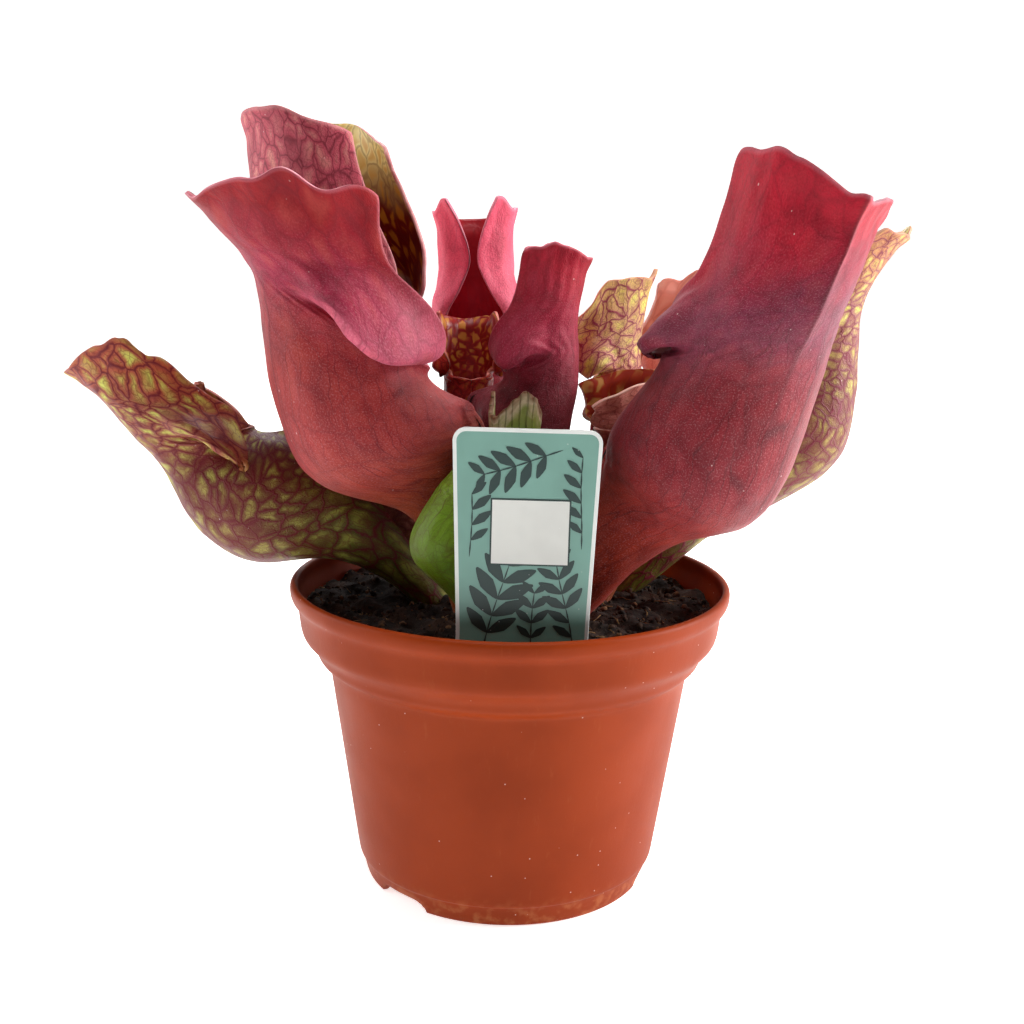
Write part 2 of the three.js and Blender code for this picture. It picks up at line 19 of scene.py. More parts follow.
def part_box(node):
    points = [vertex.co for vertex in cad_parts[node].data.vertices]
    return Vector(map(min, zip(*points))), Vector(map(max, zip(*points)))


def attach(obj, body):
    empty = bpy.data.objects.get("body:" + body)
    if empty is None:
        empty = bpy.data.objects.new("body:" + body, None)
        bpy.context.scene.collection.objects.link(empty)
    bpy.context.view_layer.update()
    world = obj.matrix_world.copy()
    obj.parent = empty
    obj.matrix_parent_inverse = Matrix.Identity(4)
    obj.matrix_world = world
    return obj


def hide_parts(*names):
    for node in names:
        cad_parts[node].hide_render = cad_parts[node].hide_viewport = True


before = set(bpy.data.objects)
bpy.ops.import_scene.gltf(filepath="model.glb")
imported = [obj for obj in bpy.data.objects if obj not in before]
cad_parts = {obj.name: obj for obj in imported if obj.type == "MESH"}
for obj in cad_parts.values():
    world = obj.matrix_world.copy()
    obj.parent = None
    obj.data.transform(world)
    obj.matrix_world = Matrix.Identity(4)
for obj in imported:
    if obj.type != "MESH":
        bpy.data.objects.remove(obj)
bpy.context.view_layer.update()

LOG = logging.getLogger("pitcher_plant")
MM = 0.001
BODY = "root"
POT_LOW, POT_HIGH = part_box("nursery_pot")
POT_CENTRE = Vector(((POT_LOW.x + POT_HIGH.x) / 2, (POT_LOW.y + POT_HIGH.y) / 2, 0.0))
TO_FRAME = Matrix.Translation(POT_CENTRE) @ Matrix.Scale(MM, 4)
SOIL_LEVEL = 76.0

Colour = tuple[float, float, float, float]


def tint(code: str) -> Colour:
    """Turn a colour as seen on a screen into scene-linear values.

    Args:
        code: The colour as "#rrggbb".

    Returns:
        Its linear red, green, blue and an alpha of 1.
    """
    seen = Color([int(code[i:i + 2], 16) / 255 for i in (1, 3, 5)])
    return (*seen.from_srgb_to_scene_linear(), 1.0)


# ---------------------------------------------------------------- shader building


class CellMeasure(Enum):
    """What a pattern of cells gives at a point, as the Voronoi node names it."""

    EDGE = "DISTANCE_TO_EDGE"
    MIDDLE = "F1"


class Wire:
    """One output of a shader's nodes, which takes part in Python expressions."""

    def __init__(self, shader: "Shader", socket: bpy.types.NodeSocket) -> None:
        """Wrap an output socket of a shader."""
        self.shader = shader
        self.socket = socket

    def __add__(self, other: "Wire | float") -> "Wire":
        """This plus other."""
        return self.shader.maths("ADD", self, other)

    def __sub__(self, other: "Wire | float") -> "Wire":
        """This less other."""
        return self.shader.maths("SUBTRACT", self, other)

    def __rsub__(self, other: float) -> "Wire":
        """The number other less this."""
        return self.shader.maths("SUBTRACT", other, self)

    def __mul__(self, other: "Wire | float") -> "Wire":
        """This times other."""
        return self.shader.maths("MULTIPLY", self, other)

    __radd__ = __add__
    __rmul__ = __mul__


class Shader:
    """A material made of nodes, with short ways to the kinds of node that the finishes use."""

    def __init__(self, name: str) -> None:
        """Start an empty material.

        Args:
            name: The material's name.
        """
        self.material = bpy.data.materials.new(name)
        self.material.use_nodes = True
        self.tree = self.material.node_tree
        self.tree.nodes.clear()

    def node(self, kind: str, settings: dict | None = None, inputs: dict | None = None) -> bpy.types.Node:
        """Add one node.

        Args:
            kind: The node's type.
            settings: Properties to set first; "stops" fills a colour ramp.
            inputs: Values or wires for the sockets, by name or number.

        Returns:
            The new node.
        """
        made = self.tree.nodes.new(kind)
        for key, value in (settings or {}).items():
            if key == "stops":
                self.fill_ramp(made.color_ramp, value)
            else:
                setattr(made, key, value)
        for key, value in (inputs or {}).items():
            if isinstance(value, Wire):
                self.tree.links.new(value.socket, made.inputs[key])
            else:
                made.inputs[key].default_value = value
        return made

    @staticmethod
    def fill_ramp(ramp: bpy.types.ColorRamp, stops: Sequence[tuple[float, Colour]]) -> None:
        """Give a colour ramp its stops.

        Args:
            ramp: The ramp.
            stops: Each stop's place and colour.
        """
        while len(ramp.elements) < len(stops):
            ramp.elements.new(0.5)
        for element, (place, colour) in zip(ramp.elements, stops):
            element.position = place
            element.color = colour

    def out(self, node: bpy.types.Node, socket: str | int = 0) -> Wire:
        """One output of a node as a wire."""
        return Wire(self, node.outputs[socket])

    def maths(self, operation: str, *values: Wire | float) -> Wire:
        """A Math node of that operation on the values."""
        inputs = dict(enumerate(values))
        return self.out(self.node("ShaderNodeMath", {"operation": operation}, inputs))

    def larger(self, first: Wire, second: Wire | float) -> Wire:
        """The larger of two values."""
        return self.maths("MAXIMUM", first, second)

    def step(self, value: Wire, low: float, high: float) -> Wire:
        """A smooth rise from 0 at low to 1 at high, or a fall where low is above high.

        Args:
            value: The value.
            low: Where it starts.
            high: Where it ends.

        Returns:
            The rise, from 0 to 1.
        """
        falls = low > high
        ends = {1: high, 2: low} if falls else {1: low, 2: high}
        settings = {"interpolation_type": "SMOOTHSTEP"}
        rise = self.out(self.node("ShaderNodeMapRange", settings, {0: value, **ends}))
        return 1 - rise if falls else rise

    def split(self, vector: Wire) -> tuple[Wire, Wire, Wire]:
        """The three parts of a vector."""
        parts = self.node("ShaderNodeSeparateXYZ", inputs={0: vector})
        return self.out(parts, 0), self.out(parts, 1), self.out(parts, 2)

    def join(self, x: Wire | float, y: Wire | float, z: Wire | float = 0.0) -> Wire:
        """A vector of three parts."""
        return self.out(self.node("ShaderNodeCombineXYZ", inputs={0: x, 1: y, 2: z}))

    def mapped(self, layer: str) -> Wire:
        """Coordinates of one of the piece's own UV maps."""
        return self.out(self.node("ShaderNodeUVMap", {"uv_map": layer}))

    def object_place(self) -> Wire:
        """Object coordinates in millimetres.

        Returns:
            The coordinates.
        """
        place = self.out(self.node("ShaderNodeTexCoord"), "Object")
        inputs = {0: place, "Scale": 1 / MM}
        return self.out(self.node("ShaderNodeVectorMath", {"operation": "SCALE"}, inputs))

    def noise(self, place: Wire, size: float, detail: float = 2.0, rough: float = 0.5) -> Wire:
        """Cloudy noise.

        Args:
            place: Where it is read, in millimetres.
            size: The size of its clouds in millimetres.
            detail: How many finer layers it has.
            rough: How strong the finer layers are.

        Returns:
            A value around 0.5.
        """
        inputs = {"Vector": place, "Scale": 1 / size, "Detail": detail, "Roughness": rough}
        return self.out(self.node("ShaderNodeTexNoise", inputs=inputs), 0)

    def cells(self, place: Wire, size: float, measure: CellMeasure = CellMeasure.EDGE) -> Wire:
        """Distance in a pattern of cells.

        Args:
            place: Where it is read, in millimetres.
            size: The size of a cell in millimetres.
            measure: Whether it is the distance to a cell's edge or to its middle.

        Returns:
            The distance, as a share of the size.
        """
        settings = {"feature": measure.value}
        inputs = {"Vector": place, "Scale": 1 / size}
        return self.out(self.node("ShaderNodeTexVoronoi", settings, inputs), "Distance")

    def specks(self, place: Wire, spacing: float, reach: float, core: float) -> Wire:
        """Round specks, one to each cell of the spacing, that fade between core and reach."""
        return self.step(self.cells(place, spacing, CellMeasure.MIDDLE), reach, core)

    def sway(self, noise: Wire, reach: float) -> Wire:
        """A noise around 0.5 turned into a shift around 0."""
        return (noise - 0.5) * reach

    def ramp(self, value: Wire, stops: Sequence[tuple[float, Colour]]) -> Wire:
        """A colour from a ramp of stops."""
        settings = {"stops": stops}
        return self.out(self.node("ShaderNodeValToRGB", settings, {0: value}))

    def mix(self, share: Wire | float, first: Wire | Colour, second: Wire | Colour) -> Wire:
        """Mix two colours by a share of the second."""
        inputs = {0: share, 6: first, 7: second}
        return self.out(self.node("ShaderNodeMix", {"data_type": "RGBA"}, inputs), 2)

    def bump(self, height: Wire, distance: float, strength: float = 1.0) -> Wire:
        """A normal from a height between 0 and 1 that stands for distance millimetres."""
        inputs = {"Height": height, "Distance": distance * MM, "Strength": strength}
        return self.out(self.node("ShaderNodeBump", inputs=inputs))

    def close(self, colour: Wire | Colour, roughness: Wire | float, normal: Wire | None = None,
              **constants: float | Colour) -> bpy.types.Material:
        """Finish the material with its surface.

        Args:
            colour: The base colour.
            roughness: The roughness.
            normal: The bumped normal, where it has one.
            constants: Fixed values of the surface's other sockets, with _ for a space.

        Returns:
            The material.
        """
        inputs = {"Base Color": colour, "Roughness": roughness}
        if normal is not None:
            inputs["Normal"] = normal
        for key, value in constants.items():
            inputs[key.replace("_", " ")] = value
        surface = self.node("ShaderNodeBsdfPrincipled", inputs=inputs)
        self.node("ShaderNodeOutputMaterial", inputs={0: self.out(surface)})
        return self.material


# ---------------------------------------------------------------- making pieces


def make_object(name: str, bm: bmesh.types.BMesh, finishes: Sequence[bpy.types.Material] = (),
                rounded: bool = True) -> bpy.types.Object:
    """Turn a bmesh into an object of the scene.

    Args:
        name: The object's name.
        bm: Its mesh, which is used up.
        finishes: Its materials, in the order of the faces' numbers.
        rounded: Whether its faces are shaded smooth.

    Returns:
        The object.
    """
    mesh = bpy.data.meshes.new(name)
    bm.to_mesh(mesh)
    bm.free()
    mesh.polygons.foreach_set("use_smooth", [rounded] * len(mesh.polygons))
    for finish in finishes:
        mesh.materials.append(finish)
    made = bpy.data.objects.new(name, mesh)
    bpy.context.scene.collection.objects.link(made)
    return made


def make_piece(name: str, bm: bmesh.types.BMesh, finishes: Sequence[bpy.types.Material],
               nodes: Sequence[str] = ()) -> bpy.types.Object:
    """Turn a bmesh in millimetres into a smooth piece that rides on the plant's body.

    Args:
        name: The piece's name.
        bm: Its mesh, which is used up.
        finishes: Its materials, in the order of the faces' numbers.
        nodes: The CAD nodes that it stands for.

    Returns:
        The piece.
    """
    bm.transform(TO_FRAME)
    piece = make_object(name, bm, finishes)
    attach(piece, BODY)
    if nodes:
        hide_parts(*nodes)
    LOG.info("made %s with %d faces", name, len(piece.data.polygons))
    return piece


def add_wall(piece: bpy.types.Object, thickness: float, inside: int = 0, edge: int = 0) -> None:
    """Give a sheet its thickness, inwards from its outer face.

    Args:
        piece: The sheet.
        thickness: Its thickness in millimetres.
        inside: How many materials on from the outer face's the inner face's is.
        edge: How many materials on from the outer face's the cut edge's is.
    """
    wall = piece.modifiers.new("wall", "SOLIDIFY")
    wall.thickness = thickness * MM
    wall.offset = -1.0
    wall.material_offset = inside
    wall.material_offset_rim = edge


def smooth(x: np.ndarray | float) -> np.ndarray:
    """A smooth rise from 0 to 1 as x goes from 0 to 1."""
    t = np.clip(x, 0.0, 1.0)
    return t * t * (3 - 2 * t)


def between(x: np.ndarray | float, low: float, high: float) -> np.ndarray:
    """A smooth rise from 0 to 1 as x goes from low to high."""
    return smooth((x - low) / (high - low))


def curve(keys: Sequence[float], values: Sequence[float], x: np.ndarray) -> np.ndarray:
    """A smooth curve through values at uneven keys.

    Args:
        keys: Where the values stand, rising.
        values: The values there.
        x: Where the curve is read.

    Returns:
        The curve at x.
    """
    k = np.asarray(keys, float)
    y = np.asarray(values, float)
    step = np.diff(k)
    rise = np.diff(y) / step
    slope = np.empty_like(y)
    slope[0] = rise[0]
    slope[-1] = rise[-1]
    slope[1:-1] = (rise[:-1] * step[1:] + rise[1:] * step[:-1]) / (step[1:] + step[:-1])
    i = np.clip(np.searchsorted(k, x, side="right") - 1, 0, len(k) - 2)
    t = (x - k[i]) / step[i]
    start = (2 * t**3 - 3 * t**2 + 1) * y[i] + (t**3 - 2 * t**2 + t) * step[i] * slope[i]
    return start + (3 * t**2 - 2 * t**3) * y[i + 1] + (t**3 - t**2) * step[i] * slope[i + 1]


def number_faces(verts: Sequence[bmesh.types.BMVert], number: int) -> None:
    """Give the faces at some corners the number of their material."""
    for face in {face for vert in verts for face in vert.link_faces}:
        face.material_index = number


def add_rod(bm: bmesh.types.BMesh, path: Sequence[Vector], radii: Sequence[float], sides: int = 5) -> None:
    """Draw one closed rod of changing thickness along a path.

    Args:
        bm: Where it is added.
        path: The points of its middle line.
        radii: Its radius at each point.
        sides: How many sides it has.
    """
    places = []
    for i, (point, radius) in enumerate(zip(path, radii)):
        run = path[min(i + 1, len(path) - 1)] - path[max(i - 1, 0)]
        turn = run.to_track_quat("Z", "Y").to_matrix().to_4x4()
        places.append(Matrix.Translation(point) @ turn @ Matrix.Scale(radius, 4))
    ring = bmesh.ops.create_circle(bm, cap_ends=True, segments=sides, radius=1.0, matrix=places[0])["verts"]
    face = next(f for f in ring[0].link_faces)
    for last, here in zip(places, places[1:]):
        made = bmesh.ops.extrude_face_region(bm, geom=[face])["geom"]
        moved = [v for v in made if isinstance(v, bmesh.types.BMVert)]
        face = next(f for f in made if isinstance(f, bmesh.types.BMFace))
        bmesh.ops.transform(bm, matrix=here @ last.inverted(), verts=moved)


# ---------------------------------------------------------------- leaves

# stations along a leaf, as shares of its length
FOOT, HEEL, BELLY, NECK, LIP = 0.0, 0.16, 0.4, 0.6, 0.64
NOTCH, LOBE, EAR, BROW, TOP = 0.7, 0.74, 0.79, 0.88, 1.0
AXIS_KEYS = (FOOT, HEEL, BELLY, NECK, EAR, TOP)
WRAP_KEYS = (LIP, NOTCH, LOBE, EAR, BROW, TOP)
# where each form rises or falls: along the leaf, across it, or in radians past the notch
TIP_FROM = 0.93
WING_RISE, WING_FALL = (0.04, 0.24), (BELLY + 0.04, NECK)
ROLL_RISE = (0.1, 0.5)
RUFFLE_RISE, HORN_RISE = (0.42, 0.58), (0.6, 1.0)
CHEEK_RISE, CHEEK_FALL, EAR_RISE = (-0.65, -0.05), (0.25, 0.8), (-0.25, 0.35)
# widths of the narrow forms, as shares of half the sheet
TIP_WIDTH, KEEL_WIDTH, WING_WIDTH = 0.07, 0.09, 0.03
RUFFLE_TURN, RUFFLE_START = 20, 12.4
CREST_SKEW = 1.2
# degrees that a closed tube and the widest hood reach round on each side
CLOSED, WIDEST = 180.0, 178.0
# millimetres in the soil, of the sheet's thickness, and to one unit of the skin map
ROOTED = 8.0
SHEET = 1.1
SKIN_UNIT = 100.0


@dataclass(frozen=True)
class LeafForm:
    """The shape of one pitcher, with the same values as its solid.

    Lengths are in millimetres and angles in degrees. The axis, tilt, depth and width have one value at
    each station from the heel to the top, and wrap is how far round the ear, the brow and the top reach.
    """

    foot: tuple[float, float]
    azimuth: float
    axis: tuple[tuple[float, float], ...]
    tilt: tuple[float, ...]
    deep: tuple[float, ...]
    wide: tuple[float, ...]
    wrap: tuple[float, float, float]
    notch: float = 112.0
    petiole: float = 3.4
    wing: float = 3.5
    ear: float = 6.0
    puff: float = 2.5
    crest: float = 4.0
    ripple: float = 1.0
    tip: float = 1.0
    horn: float = 0.0
    keel: float = 0.0
    slope: float = 0.0
    roll: float = 0.0

    def reach(self, along: np.ndarray) -> np.ndarray:
        """How far round a row reaches on each side of the midrib, in radians.

        Args:
            along: Shares of the leaf's length.

        Returns:
            The angle at each of them.
        """
        ear, brow, top = self.wrap
        lobe = 0.6 * self.notch + 0.4 * ear
        opened = curve(WRAP_KEYS, (CLOSED, self.notch, lobe, ear, brow, top), np.maximum(along, LIP))
        return np.radians(np.where(along <= LIP, CLOSED, np.minimum(opened, WIDEST)))

    def girth(self, along: np.ndarray) -> np.ndarray:
        """Half the width of a row, laid flat, in millimetres.

        Args:
            along: Shares of the leaf's length.

        Returns:
            The half width at each of them.
        """
        deep = curve(AXIS_KEYS, (self.petiole, *self.deep), along)
        wide = curve(AXIS_KEYS, (self.petiole, *self.wide), along)
        return self.reach(along) * (deep + wide) / 2

    def length(self) -> float:
        """The length of the leaf's middle line above the soil, in millimetres."""
        points = [(0.0, 0.0), *self.axis]
        return sum(math.dist(a, b) for a, b in zip(points, points[1:]))

    def place(self, across: np.ndarray, along: np.ndarray) -> np.ndarray:
        """Points of the sheet's outer face.

        Args:
            across: From -1 to 1, with the midrib at 0 and the margins at the ends.
            along: From 0 at the foot to 1 at the top.

        Returns:
            One point in a row for each pair of values.
        """
        a = np.abs(across)
        side = np.sign(across)
        out = curve(AXIS_KEYS, (0.0, *(p[0] for p in self.axis)), along)
        up = curve(AXIS_KEYS, (-ROOTED, *(p[1] for p in self.axis)), along)
        tilt = np.radians(curve(AXIS_KEYS, (self.tilt[0], *self.tilt), along))
        deep = curve(AXIS_KEYS, (self.petiole, *self.deep), along)
        wide = curve(AXIS_KEYS, (self.petiole, *self.wide), along)
        theta = self.reach(along) * a

        opening = between(along, NOTCH, LOBE)
        past = theta - math.radians(self.notch)
        cheek = between(past, *CHEEK_RISE) * (1 - 0.8 * between(past, *CHEEK_FALL))
        puff = self.puff * opening * (1 - between(along, EAR, BROW)) * cheek
        drop = self.ear * opening * (1 - between(along, LOBE, BROW)) * between(past, *EAR_RISE)
        x = -(deep + puff) * np.cos(theta)
        y = (wide + puff) * np.sin(theta)
        z = -drop

        hood = between(along, NECK, EAR)
        crown = between(along, BROW, TOP)
        tip = self.tip * np.exp(-((a / TIP_WIDTH) ** 2)) * between(along, TIP_FROM, TOP)
        x = x - self.keel * hood * np.exp(-a / KEEL_WIDTH) * (1 - 0.3 * crown) - 0.6 * tip
        z = z + crown * self.crest * np.sin(np.pi * a**CREST_SKEW)
        ruffle = between(a, *RUFFLE_RISE) * np.cos(RUFFLE_TURN * a - RUFFLE_START)
        z = z + crown * (self.ripple * ruffle + self.slope * across)
        z = z + crown * self.horn * between(a, *HORN_RISE) + tip

        rise = between(along, *WING_RISE) * (1 - between(along, *WING_FALL))
        x = x + self.wing * rise * np.exp(-(1 - a) / WING_WIDTH) * (along <= LIP)

        roll = math.radians(self.roll) * between(along, *ROLL_RISE)
        turned_x = x * np.cos(roll) - side * y * np.sin(roll)
        turned_y = x * np.sin(roll) + side * y * np.cos(roll)
        outward = out - np.cos(tilt) * turned_x + np.sin(tilt) * z
        height = SOIL_LEVEL + up + np.sin(tilt) * turned_x + np.cos(tilt) * z
        azimuth = math.radians(self.azimuth)
        return np.stack([
            self.foot[0] + outward * math.cos(azimuth) - turned_y * math.sin(azimuth),
            self.foot[1] + outward * math.sin(azimuth) + turned_y * math.cos(azimuth),
            height,
        ], axis=-1)


class Skin:
    """The places on one leaf's sheet where a finish reads its patterns."""

    def __init__(self, shader: Shader, cloud: float, ripple: float) -> None:
        """Read the sheet's two maps and the noises that its patterns share.

        Args:
            shader: The shader that reads them.
            cloud: The size of its wide clouds in millimetres.
            ripple: The size of its small waves in millimetres.
        """
        self.shader = shader
        u, self.along, _ = shader.split(shader.mapped("leaf"))
        self.across = shader.maths("ABSOLUTE", u * 2.0 - 1.0)
        self.x, self.y, _ = shader.split(shader.mapped("skin"))
        self.place = self.drawn(1.0)
        self.cloud = shader.noise(self.place, cloud, 3.0)
        self.ripple = shader.noise(self.place, ripple, 2.0)

    def drawn(self, share: float, shift_x: Wire | float = 0.0, shift_y: Wire | float = 0.0) -> Wire:
        """Places on the skin, with what is read there drawn out along the leaf.

        Args:
            share: How much of the leaf's length counts.
            shift_x: A shift across the leaf in millimetres.
            shift_y: A shift along the leaf in millimetres.

        Returns:
            The places in millimetres.
        """
        x, y = self.x * SKIN_UNIT, self.y * (SKIN_UNIT * share)
        return self.shader.join(x + shift_x, y + shift_y)


# sizes in millimetres of what shows on the outer face, and of the two noises on the inner one
CLOUD, RIPPLE, BLOTCH, STREAK, CRINKLE, HAIR, BLOOM, SPECKLE = 18.0, 3.0, 7.0, 3.2, 1.7, 0.36, 5.0, 3.3
INNER_CLOUD, INNER_RIPPLE = 12.0, 4.0
# how far along the leaf its colours have changed, and how much of a leaf's length its patterns count
FOOT_TO, BELLY_SPAN, HOOD_SPAN, CROWN_FROM = 0.08, (0.42, 0.55), (0.72, 0.8), 0.95
# on the inner face, the painted shade in the throat reaches up to the first of these
THROAT_SHADE_TO, INSIDE_SPAN, LINING_FROM = 0.45, (0.7, 0.88), 0.97
NET_DRAW, STREAK_DRAW, STRAND_DRAW, INNER_DRAW = 0.84, 0.07, 0.09, 0.7
# the size of a cell of the fine net, as a share of the net's
FINE_CELL = 0.34
# the throat tint is a near-black painted shade for deep inside the tube
BLOOM_TINT, SPECK_TINT, SHEEN_TINT, THROAT_PAINTED_SHADE = "#eec0c8", "#f4e4de", "#ffd0d6", "#240404"


@dataclass(frozen=True)
class LeafFinish:
    """The colours of one pitcher and how strongly its veins and hairs show.

    The first four colours follow each other up the leaf. The net, the lines, the velvet and the spots are
    strengths from 0 to 1, and the cells of the net and the strands between long veins are in millimetres.
    """

    foot: str
    belly: str
    hood: str
    crown: str
    vein: str
    cell: str
    inside: str
    spot: str
    edge: str
    net: float = 0.3
    cell_size: float = 4.5
    lines: float = 0.5
    strand: float = 4.2
    velvet: float = 0.5
    spots: float = 0.5
    lining: str = ""
    # painted highlight: a lighter pink on the ear lobes, where light falls on them
    lobe_highlight: str = ""
    rough: float = 0.55

    def ground(self, skin: Skin, blotch: Wire) -> Wire:
        """Colours from foot to crown, with the hood's border, a painted highlight on the ear lobes, blotches
        and streaks.

        Args:
            skin: The sheet's places.
            blotch: The noise of its blotches.

        Returns:
            The colour under the veins.
        """
        s, a, v = skin.shader, skin.across, skin.along
        stops = [
            (FOOT_TO, tint(self.foot)), *((place, tint(self.belly)) for place in BELLY_SPAN),
            *((place, tint(self.hood)) for place in HOOD_SPAN), (CROWN_FROM, tint(self.crown)),
        ]
        colour = s.ramp(v + s.sway(skin.cloud, 0.2), stops)
        border = s.step(a, 0.72, 0.98) * s.step(v, 0.76, 0.9)
        colour = s.mix(border * 0.55, colour, tint(self.crown))
        # painted highlight: the ear lobes are mixed towards a lighter pink, as if lit from the side
        lobe = s.step(a, 0.45, 0.9) * s.step(v, 0.66, 0.73) * s.step(v, 0.9, 0.78)
        colour = s.mix(lobe * 0.5, colour, tint(self.lobe_highlight or self.hood))
        colour = s.mix(s.step(blotch, 0.42, 0.75) * 0.35, colour, tint(self.vein))
        streak = s.noise(skin.drawn(STREAK_DRAW), STREAK, 2.0)
        streaks = s.step(streak, 0.44, 0.7) * s.step(v, 0.86, 0.62) * 0.35
        return s.mix(streaks * self.lines, colour, tint(self.vein))

    def veined(self, skin: Skin, blotch: Wire, colour: Wire) -> tuple[Wire, Wire]:
        """Pale cells, the net of veins around them and the long veins.

        Args:
            skin: The sheet's places.
            blotch: The noise of its blotches.
            colour: The colour under the veins.

        Returns:
            The colour with its veins, and how much of a vein each place has.
        """
        s, a, v = skin.shader, skin.across, skin.along
        warp = skin.drawn(NET_DRAW, s.sway(skin.ripple, 3.0), s.sway(blotch, 5.0))
        edge = s.cells(warp, self.cell_size)
        pale = s.step(edge, 0.05, 0.34) * (s.step(blotch, 0.62, 0.36) * 0.75 + 0.25)
        pale = pale * (s.step(v, 0.45, 0.7) * 0.5 + 0.5)
        colour = s.mix(pale * self.net, colour, tint(self.cell))
        net = s.step(edge, 0.075, 0.0) * self.net
        fine_net = s.step(s.cells(warp, self.cell_size * FINE_CELL), 0.1, 0.0) * (0.5 * self.net)
        strand = skin.drawn(STRAND_DRAW, s.sway(blotch, 5.0))
        lines = s.step(s.cells(strand, self.strand), 0.04, 0.0) * s.step(v, 0.95, 0.66) * self.lines
        lines = lines * (s.step(skin.cloud, 0.3, 0.6) * 0.7 + 0.3)
        midrib = s.step(a, 0.02, 0.003) * s.step(v, 0.3, 0.7) * 0.5
        veins = s.larger(s.larger(lines, midrib), s.larger(net, fine_net))
        return s.mix(veins, colour, tint(self.vein)), veins

    def outside_material(self, name: str) -> bpy.types.Material:
        """The outer face: its veined colours, paler rims, specks, bloom and velvet.

        Args:
            name: The material's name.

        Returns:
            The material.
        """
        s = Shader(name)
        skin = Skin(s, CLOUD, RIPPLE)
        a, v = skin.across, skin.along
        blotch = s.noise(skin.place, BLOTCH, 2.0)
        colour, veins = self.veined(skin, blotch, self.ground(skin, blotch))
        rim = s.larger(s.step(a, 0.982, 1.0) * s.step(v, 0.63, 0.66), s.step(v, 0.99, 1.0))
        colour = s.mix(rim * 0.5, colour, tint(self.edge))
        hairs = s.noise(skin.place, HAIR, 2.0, 0.65)
        colour = s.mix(s.step(hairs, 0.53, 0.36) * 0.22, colour, tint(self.vein))
        bloom = s.step(s.noise(skin.place, BLOOM, 3.0, 0.6), 0.4, 0.8) * 0.03
        bloom = (bloom + s.step(hairs, 0.5, 0.7) * 0.14) * s.step(v, 1.0, 0.8)
        colour = s.mix(bloom * self.velvet, colour, tint(BLOOM_TINT))
        specks = s.specks(skin.place, SPECKLE, 0.06, 0.035) * s.step(skin.cloud, 0.45, 0.6)
        colour = s.mix(specks * 0.5, colour, tint(SPECK_TINT))
        crinkle = s.noise(skin.place, CRINKLE, 3.0, 0.6)
        height = veins * 0.35 + hairs * 0.4 + skin.ripple * 0.3 + crinkle * 0.8
        rough = s.step(hairs, 0.2, 0.9) * 0.15 + (self.rough - 0.08)
        return s.close(colour, rough, s.bump(height, 0.3, 0.9), Sheen_Weight=0.04 * self.velvet,
                       Sheen_Roughness=0.4, Sheen_Tint=tint(SHEEN_TINT), Specular_IOR_Level=0.22)

    def inside_material(self, name: str) -> bpy.types.Material:
        """The inner face: glossier, with painted shade darkening it towards the tube, and spots in the hood.

        Args:
            name: The material's name.

        Returns:
            The material.
        """
        s = Shader(name)
        skin = Skin(s, INNER_CLOUD, INNER_RIPPLE)
        v = skin.along
        warp = skin.drawn(INNER_DRAW, s.sway(skin.ripple, 4.0), s.sway(skin.cloud, 5.0))
        edge = s.cells(warp, self.cell_size)
        # painted shade: near black deep in the tube, fading to the inner colour towards the mouth
        stops = [(THROAT_SHADE_TO, tint(THROAT_PAINTED_SHADE)), *((place, tint(self.inside)) for place in INSIDE_SPAN),
                 (LINING_FROM, tint(self.lining or self.inside))]
        colour = s.ramp(v + s.sway(skin.cloud, 0.08), stops)
        pale = s.step(edge, 0.1, 0.3) * s.step(v, 0.66, 0.8)
        colour = s.mix(pale * self.spots, colour, tint(self.spot))
        colour = s.mix(s.step(edge, 0.1, 0.02) * (0.6 * self.net), colour, tint(self.vein))
        height = s.step(edge, 0.15, 0.02) * 0.5 + skin.ripple * 0.5
        return s.close(colour, 0.4, s.bump(height, 0.12, 0.6), Specular_IOR_Level=0.35)

    def edge_material(self, name: str) -> bpy.types.Material:
        """The cut of the sheet along the lip and the hood's margins.

        Args:
            name: The material's name.

        Returns:
            The material.
        """
        s = Shader(name)
        cloud = s.noise(s.object_place(), 3.0, 2.0)
        colour = s.mix(s.step(cloud, 0.35, 0.7) * 0.6, tint(self.edge), tint(self.hood))
        return s.close(colour, 0.5, s.bump(cloud, 0.1))


# across the sheet: where its seam's points lie, and how the columns crowd towards the margins
ON_MARGIN, CROWDING = 0.9999, 1.3
# along the sheet: the crease under the ear lobes and the swelling above it
CREASE_AT, CREASE_WIDTH = 0.692, 0.018
SWELL_AT, SWELL_WIDTH = 0.752, 0.04
# millimetres: height of the ribs, length of the soft waves, and how far apart the leaves read them
RIB_HEIGHT, WIDE_WAVE, FINE_WAVE, SEED_SPREAD = 0.08, 15.0, 6.0, 3.1
# places in the skin map from which a leaf starts
MAP_STARTS = 17


